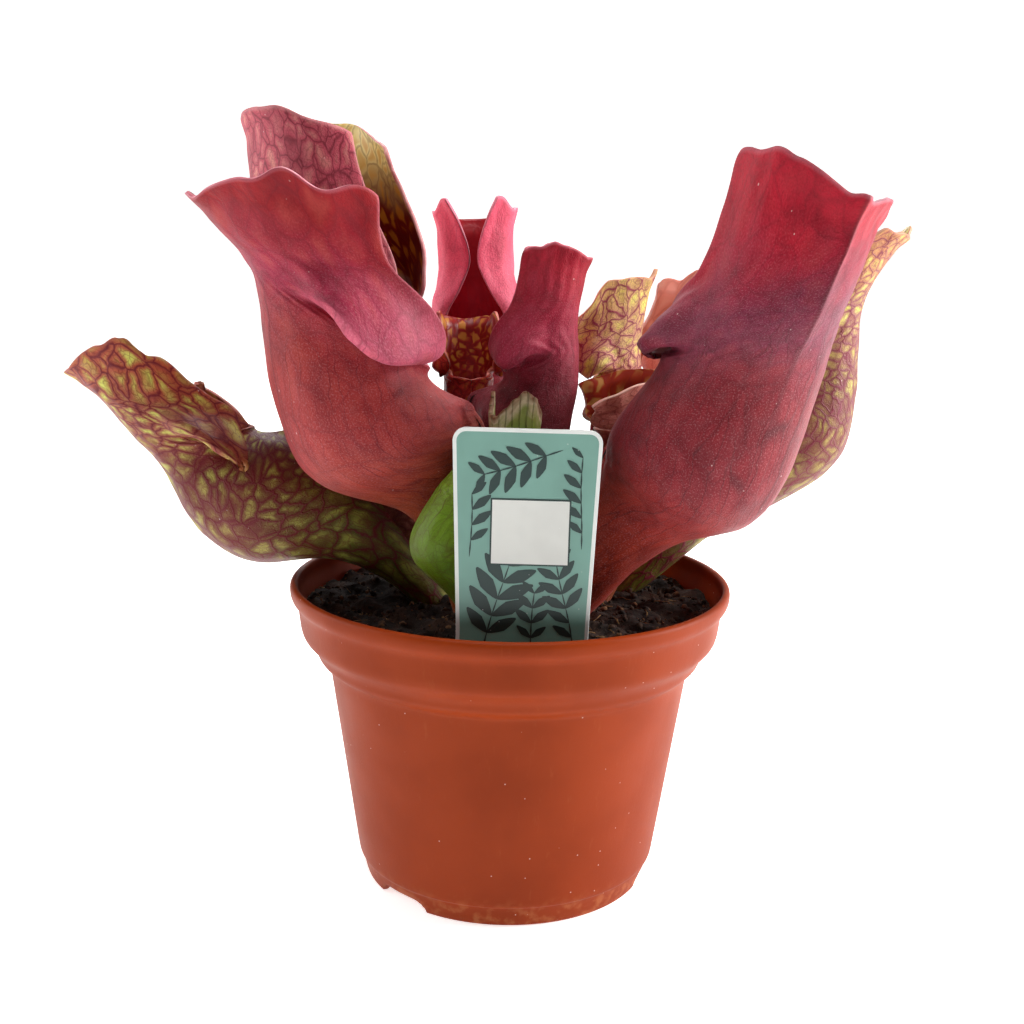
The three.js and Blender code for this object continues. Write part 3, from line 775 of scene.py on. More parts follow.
@dataclass(frozen=True)
class Pitcher:
    """One pitcher leaf as a rolled sheet with its relief.

    The waves, the curl of the margins and the cheek under the ear lobes are heights in millimetres.
    """

    name: str
    slot: str
    form: LeafForm
    finish: LeafFinish
    columns: int = 96
    rows: int = 150
    waves: float = 0.55
    curl: float = 1.1
    cheek: float = 1.2
    ribs: float = 13.0

    def build(self) -> bpy.types.Object:
        """Roll the sheet, close its tube and foot, and give it its thickness.

        Returns:
            The leaf's piece.
        """
        bm = bmesh.new()
        bm.loops.layers.uv.new("leaf")
        bmesh.ops.create_grid(bm, x_segments=self.columns, y_segments=self.rows, size=1.0, calc_uvs=True)
        verts = list(bm.verts)
        flat = np.array([v.co[:2] for v in verts])
        across = self.spread(flat[:, 0])
        along = (flat[:, 1] + 1) / 2
        for vert, point in zip(verts, self.form.place(across, along)):
            vert.co = point
        bm.normal_update()
        self.raise_relief(verts, across, along)
        seam = [v for v, s, t in zip(verts, across, along) if abs(s) > ON_MARGIN and t <= LIP]
        bmesh.ops.remove_doubles(bm, verts=seam, dist=0.01)
        bm.verts.ensure_lookup_table()
        low = self.form.place(np.zeros(1), np.zeros(1))[0][2] + self.form.petiole * 2.5
        foot = [e for e in bm.edges if e.is_boundary and all(v.co.z < low for v in e.verts)]
        bmesh.ops.contextual_create(bm, geom=foot)
        finishes = [
            self.finish.outside_material(f"{self.name}_outside"),
            self.finish.inside_material(f"{self.name}_inside"),
            self.finish.edge_material(f"{self.name}_edge"),
        ]
        piece = make_piece(f"{self.name}_leaf", bm, finishes, [self.name])
        self.map_skin(piece.data)
        add_wall(piece, SHEET, inside=1, edge=2)
        return piece

    @staticmethod
    def spread(x: np.ndarray) -> np.ndarray:
        """Draw the columns closer together towards the margins."""
        return np.sign(x) * (1 - (1 - np.abs(x)) ** CROWDING)

    def raise_relief(self, verts: Sequence[bmesh.types.BMVert], across: np.ndarray,
                     along: np.ndarray) -> None:
        """Move the sheet along its normals: soft waves, low ribs and margins that roll outwards.

        Args:
            verts: The sheet's points.
            across: Each point's place from -1 to 1.
            along: Each point's share of the length.
        """
        a = np.abs(across)
        past = self.form.reach(along) * a - math.radians(self.form.notch)
        opened = between(along, LIP, NOTCH)
        margin = between(a, 0.9, 1.0)
        curl = self.curl * (margin * opened * between(along, EAR, BROW) + between(along, 0.95, 1.0))
        ribs = RIB_HEIGHT * np.cos(np.pi * across * self.ribs) * between(along, 0.1, 0.3)
        steady = 1 - margin * (1 - opened)
        crease = np.exp(-(((along - CREASE_AT) / CREASE_WIDTH) ** 2)) * between(past, -0.75, -0.05)
        tuck = 1.7 * between(a, 0.8, 1.0) * between(along, NOTCH, LOBE)
        swell = np.exp(-(((along - SWELL_AT) / SWELL_WIDTH) ** 2)) * between(past, -0.7, 0.1) * (1 - tuck)
        shape = curl + self.cheek * (swell - 0.9 * crease)
        seed = Vector((*self.form.foot, 0.0)) * SEED_SPREAD
        for vert, fixed, rib, share in zip(verts, shape, ribs, steady):
            wave = noise.noise(vert.co / WIDE_WAVE + seed) + 0.4 * noise.noise(vert.co / FINE_WAVE - seed)
            vert.co += vert.normal * float(fixed + (rib + wave * self.waves) * share)

    def map_skin(self, mesh: bpy.types.Mesh) -> None:
        """Give the sheet its two maps: shares of the leaf, and lengths on its skin.

        Args:
            mesh: The sheet's mesh, with its first map from 0 to 1.
        """
        leaf = mesh.uv_layers["leaf"]
        values = np.empty(len(mesh.loops) * 2)
        leaf.data.foreach_get("uv", values)
        values = values.reshape(-1, 2)
        across = self.spread(values[:, 0] * 2 - 1)
        along = values[:, 1].copy()
        values[:, 0] = (across + 1) / 2
        leaf.data.foreach_set("uv", values.ravel())
        skin = mesh.uv_layers.new(name="skin")
        start = number_of(self.name) % MAP_STARTS
        values[:, 0] = across * self.form.girth(along) / SKIN_UNIT + start
        values[:, 1] = along * self.form.length() / SKIN_UNIT + start
        skin.data.foreach_set("uv", values.ravel())


def number_of(name: str) -> int:
    """A number that is the same for a name in every run."""
    return sum((i + 1) * ord(letter) for i, letter in enumerate(name))


CRIMSON = LeafFinish(foot="#9c4c14", belly="#a0302e", hood="#9e2040", crown="#900814", vein="#5c0614",
                     cell="#c05040", inside="#6a0c10", spot="#a03430", edge="#d07480", net=0.3,
                     cell_size=6.5, lines=0.6, velvet=0.8, spots=0.3, lobe_highlight="#f07c96")
WINE = LeafFinish(foot="#ac3820", belly="#841a24", hood="#7c2840", crown="#b0142a", vein="#400610",
                  cell="#9c3836", inside="#5a080c", spot="#8c2c28", edge="#cc7c88", net=0.25,
                  cell_size=6.5, lines=0.6, velvet=0.9, spots=0.3)
NETTED = LeafFinish(foot="#4c5608", belly="#6c3424", hood="#984c3c", crown="#a84c34", vein="#64141c",
                    cell="#c8cc5c", inside="#a05a38", spot="#ccb868", edge="#c07060", net=1.0,
                    cell_size=4.4, lines=0.5, velvet=0.3, rough=0.48)
ROSE = LeafFinish(foot="#5a3a18", belly="#80302c", hood="#b44c58", crown="#c04c5c", vein="#641c28",
                  cell="#dc9488", inside="#6c0804", spot="#d0902c", edge="#e09c9c", net=0.7,
                  cell_size=3.4, lines=0.4, velvet=0.6, spots=0.6, lining="#f0dc98")
PINK = LeafFinish(foot="#6c3418", belly="#741824", hood="#a82440", crown="#a81028", vein="#4c0812",
                  cell="#bc4458", inside="#78020a", spot="#980e18", edge="#e07888", net=0.2,
                  cell_size=3.4, lines=0.5, velvet=0.8, spots=0.3, lobe_highlight="#c44c66")
# the pink finish painted lighter for the back leaf, which shares the centre leaf's slot, to stand in for more
# light falling on it
PINK_PAINTED_LIGHTER = LeafFinish(foot="#6c3418", belly="#8c1c2c", hood="#e45a76", crown="#e24c68", vein="#7c1024",
                   cell="#e06880", inside="#a4061a", spot="#b40c20", edge="#ec8ca0", net=0.2,
                   cell_size=3.4, lines=0.5, velvet=0.8, spots=0.3, lobe_highlight="#ec7890")
# its own yellow-green cells and pink net, painted lighter to stand in for light where the front right leaf
# shades it
LIME_PAINTED_LIGHTER = LeafFinish(foot="#6c7c10", belly="#b87c54", hood="#e8ac8c", crown="#e8bc78", vein="#9c4054",
                  cell="#fcf47c", inside="#d8b860", spot="#ece48c", edge="#e4a480", net=1.0,
                  cell_size=3.4, lines=0.4, velvet=0.2, rough=0.48)
OLIVE = LeafFinish(foot="#545f0c", belly="#784838", hood="#985c50", crown="#b87848", vein="#701c30",
                   cell="#c4bc58", inside="#c0a050", spot="#d8d078", edge="#cc8c68", net=1.0,
                   cell_size=3.4, lines=0.4, velvet=0.2, rough=0.48)
# its own salmon pink, painted lighter to stand in for light where this leaf sits in shade between the others
SALMON_PAINTED_LIGHTER = LeafFinish(foot="#7c4418", belly="#c05444", hood="#e48478", crown="#ec9888", vein="#982c2c",
                    cell="#f4b098", inside="#a83418", spot="#e4c068", edge="#f4c8b8", net=0.55,
                    cell_size=2.8, lines=0.3, velvet=0.4)
BLUSH = LeafFinish(foot="#7c4418", belly="#c43c38", hood="#e08478", crown="#e49488", vein="#a84840",
                   cell="#eca898", inside="#e08c78", spot="#e8a890", edge="#f0bcb0", net=0.4,
                   cell_size=3.4, lines=0.3, velvet=0.5)
SPOTTED = LeafFinish(foot="#485c08", belly="#ac2626", hood="#c03028", crown="#c84428", vein="#580a0c",
                     cell="#cc8838", inside="#901410", spot="#dca040", edge="#cc7868", net=0.6,
                     cell_size=2.6, lines=0.3, velvet=0.15, rough=0.42, spots=0.55)
GREEN = LeafFinish(foot="#3c5404", belly="#5c7c10", hood="#688418", crown="#74882a", vein="#4c3c0c",
                   cell="#84a028", inside="#607018", spot="#90a048", edge="#989c50", net=0.35,
                   cell_size=3.0, lines=0.8, strand=2.6, velvet=0.1, rough=0.44)

PITCHERS = (
    Pitcher("pitcher_front_left", "leaf_crimson", LeafForm(
        foot=(-9, -10), azimuth=188,
        axis=((7, 30), (25.5, 48), (34.5, 73), (32.5, 84.5), (44.5, 106)),
        tilt=(41, 17, -23, -19, -1), deep=(10.5, 22, 23, 28.5, 26), wide=(9, 21, 17, 18, 22),
        wrap=(154, 122, 128), notch=92, ear=9, puff=5, crest=6, ripple=1.8, tip=3, slope=2),
        CRIMSON, columns=140, rows=200, cheek=3.6),
    Pitcher("pitcher_front_right", "leaf_wine", LeafForm(
        foot=(9.5, -7.7), azimuth=-20,
        axis=((21, 25.5), (38.5, 43.5), (49.5, 68.5), (53, 82.5), (64.5, 109)),
        tilt=(40, 25, 0, -8, 0), deep=(11, 22, 20, 22.5, 18), wide=(10.5, 22.5, 20.5, 21, 17.5),
        wrap=(160, 104, 97), ear=5, puff=5, crest=6, ripple=0.6, tip=2, horn=1.5, keel=3, slope=-9,
        roll=46),
        WINE, columns=140, rows=200, cheek=2.6),
    Pitcher("pitcher_low_left", "leaf_netted", LeafForm(
        foot=(-13, 3.5), azimuth=178,
        axis=((27, 18), (56, 27), (70.5, 41), (76, 50), (91, 61.5)),
        tilt=(82, 62, 20, -2, 1), deep=(9.5, 17.5, 14, 19, 16), wide=(8, 17, 12, 14, 15),
        wrap=(154, 134, 120), notch=96, ear=10, puff=7, crest=7, horn=-3, slope=4, roll=-22),
        NETTED, columns=120, rows=180),
    Pitcher("pitcher_back_left", "leaf_rose", LeafForm(
        foot=(-15, 15), azimuth=158,
        axis=((15.5, 9), (28, 41), (35, 74), (36.5, 96), (46, 124.5)),
        tilt=(25, 13, -7, -18, -7), deep=(7, 15, 17, 28, 20), wide=(8, 14, 14, 17, 18),
        wrap=(152, 146, 150), ear=7, crest=6, ripple=0.5, tip=0, slope=2, roll=5),
        ROSE, columns=120, rows=180, cheek=2.0),
    Pitcher("pitcher_back", "leaf_pink", LeafForm(
        foot=(-3, 27), azimuth=108,
        axis=((9.5, 16), (24, 37), (26.5, 64.5), (27.5, 79.5), (31.5, 105)),
        tilt=(60, 40, 10, 0, 10), deep=(6, 12, 9, 11, 12), wide=(6, 12, 9, 11, 12),
        wrap=(138, 174, 148), ear=5, crest=0, tip=0, horn=2, roll=20, petiole=3),
        PINK_PAINTED_LIGHTER),
    Pitcher("pitcher_centre", "leaf_pink", LeafForm(
        foot=(3, 10), azimuth=-12,
        axis=((2.5, 14), (-0.5, 48.5), (4.5, 62), (1.5, 73.5), (5, 92.5)),
        tilt=(31, 16, -3, -15, -4), deep=(6, 13, 10.5, 13, 11), wide=(6, 12, 9, 10, 12),
        wrap=(152, 116, 104), notch=98, ear=5, crest=3, ripple=0.4, slope=-3.5, petiole=3),
        PINK, columns=110, rows=170, cheek=2.2),
    Pitcher("pitcher_netted_centre", "leaf_netted", LeafForm(
        foot=(17.9, 24.3), azimuth=2,
        axis=((13, 10), (14.5, 41), (12.5, 56), (7.5, 68), (6, 82)),
        tilt=(34, 11, -3, -12, -21), deep=(5, 8.5, 6.5, 10.5, 15), wide=(5, 8, 6, 8, 8),
        wrap=(150, 130, 125), ear=4, crest=2, horn=-7, slope=-4, tip=3, ripple=0.4, petiole=2.6, wing=2),
        LIME_PAINTED_LIGHTER, waves=0.3),
    Pitcher("pitcher_folded_right", "leaf_salmon", LeafForm(
        foot=(21.6, 6.6), azimuth=8,
        axis=((8.5, 13), (12.5, 33), (11, 45), (8, 51), (5.5, 59)),
        tilt=(31, 27, 9, 0, -12), deep=(4.5, 9.5, 9.5, 12.5, 16), wide=(5, 8, 6.5, 7, 7.5),
        wrap=(134, 122, 118), ear=1.5, puff=1, crest=2, ripple=0.2, slope=2, petiole=2.6, wing=2),
        SALMON_PAINTED_LIGHTER, waves=0.2, cheek=0.5),
    Pitcher("pitcher_rear_right", "leaf_salmon", LeafForm(
        foot=(15, 36), azimuth=15,
        axis=((10, 12), (25, 36), (33, 54), (33, 66), (40, 85)),
        tilt=(35, 20, 5, -5, -4), deep=(5, 12, 10, 13, 15), wide=(5, 10, 9, 10, 12),
        wrap=(150, 125, 115), ear=4, crest=3, petiole=3),
        BLUSH),
    Pitcher("pitcher_netted_right", "leaf_netted", LeafForm(
        foot=(23, 13), azimuth=15,
        axis=((27, 17), (60.5, 44), (66, 67), (64, 82), (72.5, 99)),
        tilt=(49, 32, -7, -8, -2), deep=(6, 14, 11.5, 15, 18), wide=(7, 14, 11, 12, 14),
        wrap=(150, 125, 120), ear=5, crest=3, tip=4, petiole=3),
        OLIVE),
    Pitcher("pitcher_spotted", "leaf_spotted", LeafForm(
        foot=(-12, 22.5), azimuth=100,
        axis=((2, 16), (5, 36), (6, 55), (6.5, 64), (8, 76)),
        tilt=(60, 35, 15, 5, 10), deep=(4, 7.5, 6, 7, 8), wide=(4, 8, 7, 8, 8.5),
        wrap=(140, 112, 105), ear=3, crest=1, horn=-5, tip=0, petiole=2.5, wing=2),
        SPOTTED, waves=0.35),
    Pitcher("pitcher_young_green", "leaf_green", LeafForm(
        foot=(1, -30), azimuth=186,
        axis=((12.5, 15.5), (17.5, 26), (13.5, 35), (11, 39), (8, 44)),
        tilt=(60, 15, -13, -17, -8), deep=(6.5, 9, 7.5, 7, 6), wide=(6, 8.5, 6.5, 6.5, 7.5),
        wrap=(150, 125, 120), ear=3, puff=1.5, crest=1, petiole=2.6, wing=1.5),
        GREEN, waves=0.35),
)


@dataclass(frozen=True)
class CutLeaf:
    """The stump of a cut leaf: an open gutter with a torn, dried top.

    It reaches round by wrap degrees on each side of the way that it faces. The tear, its ragged edge, the
    ruffle and the ribs are heights in millimetres, and flat is the size that its pattern is drawn for.
    """

    foot: tuple[float, float] = (-1.0, -14.0)
    height: float = 58.0
    radius: tuple[float, float] = (3.0, 7.0)
    wrap: float = 125.0
    facing: float = -80.0
    lean: float = 1.5
    tear: float = 3.0
    torn_from: float = 0.8
    ragged: float = 1.6
    ruffle: float = 0.5
    rib: float = 0.12
    thin: float = 0.8
    flat: tuple[float, float] = (24.0, 66.0)
    columns: int = 40
    rows: int = 70

    def material(self) -> bpy.types.Material:
        """Green below, with a papery brown band along the torn top.

        Returns:
            The material.
        """
        s = Shader("cut_leaf_skin")
        u, v, _ = s.split(s.mapped("leaf"))
        place = s.join(u * self.flat[0], v * self.flat[1])
        cloud = s.noise(place, 3.0, 3.0)
        stops = [(0.3, tint("#56701a")), (0.86, tint("#6f8c26")), (0.93, tint("#8c9440")),
                 (0.965, tint("#d0bc94")), (1.0, tint("#7a4c2c"))]
        colour = s.ramp(v + s.sway(cloud, 0.12), stops)
        lines = s.step(s.maths("PINGPONG", u * 16.0 + s.sway(cloud, 0.4), 0.5), 0.16, 0.02)
        colour = s.mix(lines * 0.4, colour, tint("#4e5418"))
        return s.close(colour, 0.6, s.bump(lines + cloud, 0.3))

    def build(self) -> bpy.types.Object:
        """Bend a strip into a gutter and tear its top.

        Returns:
            The stump's piece.
        """
        bm = bmesh.new()
        bm.loops.layers.uv.new("leaf")
        bmesh.ops.create_grid(bm, x_segments=self.columns, y_segments=self.rows, size=1.0, calc_uvs=True)
        for vert in bm.verts:
            across, along = vert.co.x, (vert.co.y + 1) / 2
            angle = math.radians(self.facing + self.wrap * across)
            radius = self.radius[0] + (self.radius[1] - self.radius[0]) * along
            top = float(between(along, self.torn_from, 1.0))
            ragged = self.ragged * noise.noise(Vector((across * 6, 0, 3)))
            tear = top * (self.tear * math.sin(5 * across + 1) + ragged)
            radius += self.ruffle * top * math.sin(9 * across) + self.rib * math.cos(40 * across)
            vert.co = (
                self.foot[0] + self.lean * along + radius * math.cos(angle),
                self.foot[1] + radius * math.sin(angle),
                SOIL_LEVEL - ROOTED + (self.height + ROOTED) * along + tear,
            )
        piece = make_piece("cut_leaf_sheet", bm, [self.material()], ["cut_leaf"])
        add_wall(piece, SHEET * self.thin)
        return piece


# ---------------------------------------------------------------- the pot


@dataclass(frozen=True)
class TerracottaPlastic:
    """Terracotta-coloured moulded plastic with scuffs, dust and soil marks; its sizes are millimetres."""

    body: str = "#8c3104"
    dark: str = "#7a2802"
    dust: str = "#c88050"
    speck: str = "#e8d6c8"
    cloud_size: float = 26.0
    grain_size: float = 0.5
    streak_size: float = 1.6
    streak_draw: float = 0.12
    speck_spacing: float = 4.2
    mark_size: float = 3.0
    mark_height: float = 10.0

    def material(self) -> bpy.types.Material:
        """Build the plastic's shader.

        Returns:
            The material.
        """
        s = Shader("terracotta_plastic")
        place = s.object_place()
        x, y, z = s.split(place)
        cloud = s.noise(place, self.cloud_size, 3.0)
        grain = s.noise(place, self.grain_size, 2.0, 0.6)
        colour = s.mix(s.step(cloud, 0.35, 0.7) * 0.5, tint(self.body), tint(self.dark))
        streak = s.noise(s.join(x, y, z * self.streak_draw), self.streak_size, 3.0, 0.7)
        colour = s.mix(s.step(streak, 0.6, 0.85) * 0.1, colour, tint(self.dust))
        specks = s.specks(place, self.speck_spacing, 0.05, 0.03)
        colour = s.mix(specks * 0.6, colour, tint(self.speck))
        marks = s.step(z, self.mark_height, 2.0) * s.step(s.noise(place, self.mark_size, 3.0), 0.45, 0.7)
        colour = s.mix(marks * 0.3, colour, tint(self.dust))
        rough = s.step(cloud, 0.3, 0.7) * 0.1 + grain * 0.1 + 0.4
        return s.close(colour, rough, s.bump(grain + streak, 0.05, 0.5), Specular_IOR_Level=0.12)


def softened(points: Sequence[tuple[float, float]], rounds: int) -> list[tuple[float, float]]:
    """Cut the corners of an open outline so that they turn round.

    Args:
        points: The outline's corners.
        rounds: How often the corners are cut.

    Returns:
        The rounder outline, with the same two ends.
    """
    line = [Vector(p) for p in points]
    for _ in range(rounds):
        cut = [line[0]]
        for a, b in zip(line, line[1:]):
            reach = min(0.25, 0.8 / max((b - a).length, 1e-6))
            cut += [a.lerp(b, reach), a.lerp(b, 1 - reach)]
        line = [*cut, line[-1]]
    return [tuple(p) for p in line]


@dataclass(frozen=True)
class NurseryPot:
    """The tapered pot: rim bead, two soft bands, foot ring with arched gaps and a drained floor."""

    height: float = 83.5
    wall: float = 1.4
    floor: float = 4.2
    outside: tuple[tuple[float, float], ...] = (
        (39.2, 0), (39.7, 1.2), (40.7, 5.8), (41.5, 6.3), (49.4, 60.8), (50.7, 61.9), (52.5, 63.3),
        (53.2, 65.6), (54.6, 67.4), (56.4, 69.2), (57.1, 71.2), (57.9, 78.0), (59.7, 79.8), (60.0, 82.4),
    )
    inside_heights: tuple[float, ...] = (79.6, 71.4, 67.2, 63, 60.4)
    foot_inset: float = 2.2
    foot_height: float = 2.6
    notch_angles: tuple[float, ...] = (226, 346, 106)
    notch_width: float = 17.0
    notch_height: float = 3.4
    notch_square: int = 6
    foot_round: float = 0.6
    rim_round: float = 0.7
    rim_width: float = 2.3
    floor_round: float = 1.2
    drain_count: int = 6
    drain_ring: float = 25.0
    drain_radius: float = 3.2
    drain_sides: int = 40
    drain_middle: float = 3.0
    drain_depth: float = 8.0
    steps: int = 288

    def inside(self, z: float) -> float:
        """Radius of the pot's inside at a height."""
        radii, heights = zip(*self.outside)
        return float(np.interp(z, heights, radii)) - self.wall

    def outline(self) -> list[tuple[float, float]]:
        """The pot's section from the middle of its underside round to the middle of its floor.

        Returns:
            Its points as radius and height.
        """
        rim = self.outside[-1][0]
        foot = self.outside[0][0] - self.foot_inset
        low = self.floor + 2
        inner = [(self.inside(z), z) for z in (*self.inside_heights, low)]
        return [
            (0, self.foot_height), (foot, self.foot_height), (foot, 0), *self.outside,
            (rim - self.rim_round, self.height), (rim - self.rim_width, self.height), *inner,
            (self.inside(low) - self.floor_round, self.floor), (0, self.floor),
        ]

    def build(self) -> bpy.types.Object:
        """Spin the section, arch the gaps in the foot ring and drill the drains.

        Returns:
            The pot's piece.
        """
        bm = bmesh.new()
        profile = [bm.verts.new((r, 0, z)) for r, z in softened(self.outline(), 2)]
        edges = [bm.edges.new(pair) for pair in zip(profile, profile[1:])]
        bmesh.ops.spin(bm, geom=profile + edges, axis=(0, 0, 1), cent=(0, 0, 0), steps=self.steps,
                       angle=2 * math.pi, use_merge=True)
        bmesh.ops.remove_doubles(bm, verts=bm.verts, dist=0.001)
        bmesh.ops.recalc_face_normals(bm, faces=bm.faces)
        for vert in bm.verts:
            vert.co.z = max(vert.co.z, self.arch(vert.co))
        plastic = TerracottaPlastic().material()
        piece = make_piece("pot_shell", bm, [plastic], ["nursery_pot"])
        self.drill(piece)
        return piece

    def arch(self, point: Vector) -> float:
        """The lowest height left by the gaps in the foot ring at a point.

        Args:
            point: The point.

        Returns:
            The height there.
        """
        radius = math.hypot(point.x, point.y)
        if radius < self.outside[0][0] - self.foot_inset - self.foot_round:
            return 0.0
        angle = math.degrees(math.atan2(point.y, point.x))
        arches = [0.0]
        for middle in self.notch_angles:
            turn = (angle - middle + 180) % 360 - 180
            share = abs(math.radians(turn) * radius) / (self.notch_width / 2)
            arches.append(self.notch_height * (1 - share**self.notch_square) ** 0.5 if share < 1 else 0.0)
        inner = radius < self.outside[0][0] - self.foot_inset / 2
        return min(max(arches), self.foot_height) if inner else max(arches)

    def drill(self, piece: bpy.types.Object) -> None:
        """Cut the drain holes through the floor.

        Args:
            piece: The pot's piece.
        """
        bm = bmesh.new()
        for i in range(self.drain_count):
            angle = math.radians(self.notch_angles[0]) + 2 * math.pi * i / self.drain_count
            x, y = self.drain_ring * math.cos(angle), self.drain_ring * math.sin(angle)
            place = Matrix.Translation((x, y, self.drain_middle))
            bmesh.ops.create_cone(bm, cap_ends=True, segments=self.drain_sides, radius1=self.drain_radius,
                                  radius2=self.drain_radius, depth=self.drain_depth, matrix=place)
        bm.transform(TO_FRAME)
        cutter = make_object("drains", bm, rounded=False)
        cut = piece.modifiers.new("drains", "BOOLEAN")
        cut.object = cutter
        cut.solver = "EXACT"
        seen = piece.evaluated_get(bpy.context.evaluated_depsgraph_get())
        drilled = bpy.data.meshes.new_from_object(seen)
        piece.modifiers.clear()
        piece.data = drilled
        bpy.data.objects.remove(cutter)


# ---------------------------------------------------------------- the soil


@dataclass(frozen=True)
class Peat:
    """Dark moist peat with lighter crumbs and fibres; its sizes are millimetres."""

    dark: str = "#1d120d"
    mid: str = "#3a2417"
    light: str = "#6b4a30"
    straw: tuple[str, str] = ("#8a6a44", "#5a3d26")
    cloud_size: float = 6.0
    grain_size: float = 0.7
    shade_size: float = 2.2
    crumb_grain_size: float = 0.3

    def ground(self) -> bpy.types.Material:
        """The soil's surface.

        Returns:
            The material.
        """
        s = Shader("peat_ground")
        place = s.object_place()
        cloud = s.noise(place, self.cloud_size, 3.0)
        grain = s.noise(place, self.grain_size, 3.0, 0.7)
        colour = s.mix(s.step(cloud, 0.4, 0.7), tint(self.dark), tint(self.mid))
        colour = s.mix(s.step(grain, 0.6, 0.75) * 0.5, colour, tint(self.light))
        return s.close(colour, 0.9, s.bump(grain, 0.6), Specular_IOR_Level=0.3)

    def crumb(self, name: str, first: str, second: str) -> bpy.types.Material:
        """Crumbs of soil in two shades.

        Args:
            name: The material's name.
            first: The one shade.
            second: The other shade.

        Returns:
            The material.
        """
        s = Shader(name)
        place = s.object_place()
        shade = s.noise(place, self.shade_size, 1.0)
        colour = s.mix(s.step(shade, 0.4, 0.6), tint(first), tint(second))
        grain = s.noise(place, self.crumb_grain_size, 2.0)
        return s.close(colour, 0.88, s.bump(grain, 0.2), Specular_IOR_Level=0.3)


@dataclass(frozen=True)
class Soil:
    """The peat in the pot: a rough surface, crumbs and fibres.

    What is strewn keeps clear of the pot by the three lengths in clear: where it starts, where the
    surface's own height is still read, and where its points end.
    """

    pot: NurseryPot
    cells: int = 190
    bump: float = 0.9
    gap: float = 0.5
    skirt: tuple[float, float] = (68.0, 60.0)
    skirt_lift: float = 1.0
    lowest_inside: float = 6.5
    crumbs: int = 1500
    crumb_size: tuple[float, float] = (0.35, 1.0)
    crumb_length: tuple[float, float] = (0.7, 1.3)
    crumb_height: tuple[float, float] = (0.5, 0.9)
    crumb_lift: float = 0.2
    crumb_dent: float = 0.18
    dark_share: float = 0.72
    fibres: int = 170
    fibre_length: tuple[float, float] = (2.0, 6.5)
    fibre_radius: tuple[float, float] = (0.1, 0.22)
    fibre_bend: float = 0.25
    fibre_lift: float = 0.35
    fibre_taper: tuple[float, ...] = (1.0, 1.0, 0.9, 0.7, 0.4)
    clear: tuple[float, float, float] = (0.8, 0.6, 0.3)
    seed: int = 11

    def height(self, x: float, y: float) -> float:
        """Height of the surface, with the solid's waves and finer lumps.

        Args:
            x: The place to the right of the pot's axis.
            y: The place behind it.

        Returns:
            The height.
        """
        waves = math.sin(0.31 * x + 0.7) * math.cos(0.27 * y) + 0.6 * math.sin(0.53 * y + 0.45 * x + 2)
        place = Vector((x, y, 0))
        lumps = noise.fractal(place / 3.4, 1.0, 2.2, 4) * 0.75 + noise.noise(place / 9.0) * 0.5
        return SOIL_LEVEL + self.bump * waves + lumps

    def top_radius(self) -> float:
        """Radius of the surface where it meets the pot."""
        return self.pot.inside(SOIL_LEVEL) - self.gap

    def build(self) -> bpy.types.Object:
        """Press a grid into a disc, roughen it and pull its edge down to the pot's floor.

        Returns:
            The soil's piece.
        """
        bm = bmesh.new()
        bmesh.ops.create_grid(bm, x_segments=self.cells, y_segments=self.cells, size=1.0)
        edge = self.top_radius()
        for vert in bm.verts:
            x, y = vert.co.x, vert.co.y
            disc_x = edge * x * math.sqrt(1 - y * y / 2)
            disc_y = edge * y * math.sqrt(1 - x * x / 2)
            vert.co = (disc_x, disc_y, self.height(disc_x, disc_y))
        for level in (*self.skirt, self.pot.floor + self.skirt_lift):
            rim = [e for e in bm.edges if e.is_boundary]
            made = bmesh.ops.extrude_edge_only(bm, edges=rim)
            for vert in made["geom"]:
                if isinstance(vert, bmesh.types.BMVert):
                    inside = self.pot.inside(max(level, self.lowest_inside)) - self.gap
                    scale = inside / math.hypot(vert.co.x, vert.co.y)
                    vert.co = (vert.co.x * scale, vert.co.y * scale, level)
        bmesh.ops.contextual_create(bm, geom=[e for e in bm.edges if e.is_boundary])
        bmesh.ops.recalc_face_normals(bm, faces=bm.faces)
        return make_piece("peat_bed", bm, [Peat().ground()], ["soil"])

    def scatter(self) -> list[bpy.types.Object]:
        """Strew crumbs and fibres over the surface.

        Returns:
            The crumbs and the fibres.
        """
        rng = random.Random(self.seed)
        peat = Peat()
        looks = [
            peat.crumb("crumb_dark", peat.dark, peat.mid),
            peat.crumb("crumb_brown", peat.mid, peat.light),
            peat.crumb("fibre_straw", *peat.straw),
        ]
        bm = bmesh.new()
        for _ in range(self.crumbs):
            x, y = self.spot(rng)
            size = self.crumb_size[0] + self.crumb_size[1] * rng.random() ** 3
            turn = Euler([rng.uniform(0, math.pi) for _ in range(3)]).to_matrix().to_4x4()
            long, high = rng.uniform(*self.crumb_length), rng.uniform(*self.crumb_height)
            shape = Matrix.Diagonal((size * long, size, size * high, 1))
            lift = self.height(x, y) + size * self.crumb_lift
            place = Matrix.Translation((x, y, lift)) @ turn @ shape
            made = bmesh.ops.create_icosphere(bm, subdivisions=1, radius=1.0, matrix=place)
            number = 0 if rng.random() < self.dark_share else 1
            dent = self.crumb_dent
            for vert in made["verts"]:
                vert.co += Vector([rng.uniform(-dent, dent) * size for _ in range(3)])
            number_faces(made["verts"], number)
        crumbs = make_piece("peat_crumbs", bm, looks[:2])
        bm = bmesh.new()
        for _ in range(self.fibres):
            x, y = self.spot(rng)
            self.add_fibre(bm, rng, x, y)
        fibres = make_piece("peat_fibres", bm, looks[2:])
        return [crumbs, fibres]

    def spot(self, rng: random.Random) -> tuple[float, float]:
        """A random place on the surface.

        Args:
            rng: The source of random numbers.

        Returns:
            Its place as x and y.
        """
        radius = (self.top_radius() - self.clear[0]) * math.sqrt(rng.random())
        angle = rng.uniform(0, 2 * math.pi)
        return radius * math.cos(angle), radius * math.sin(angle)

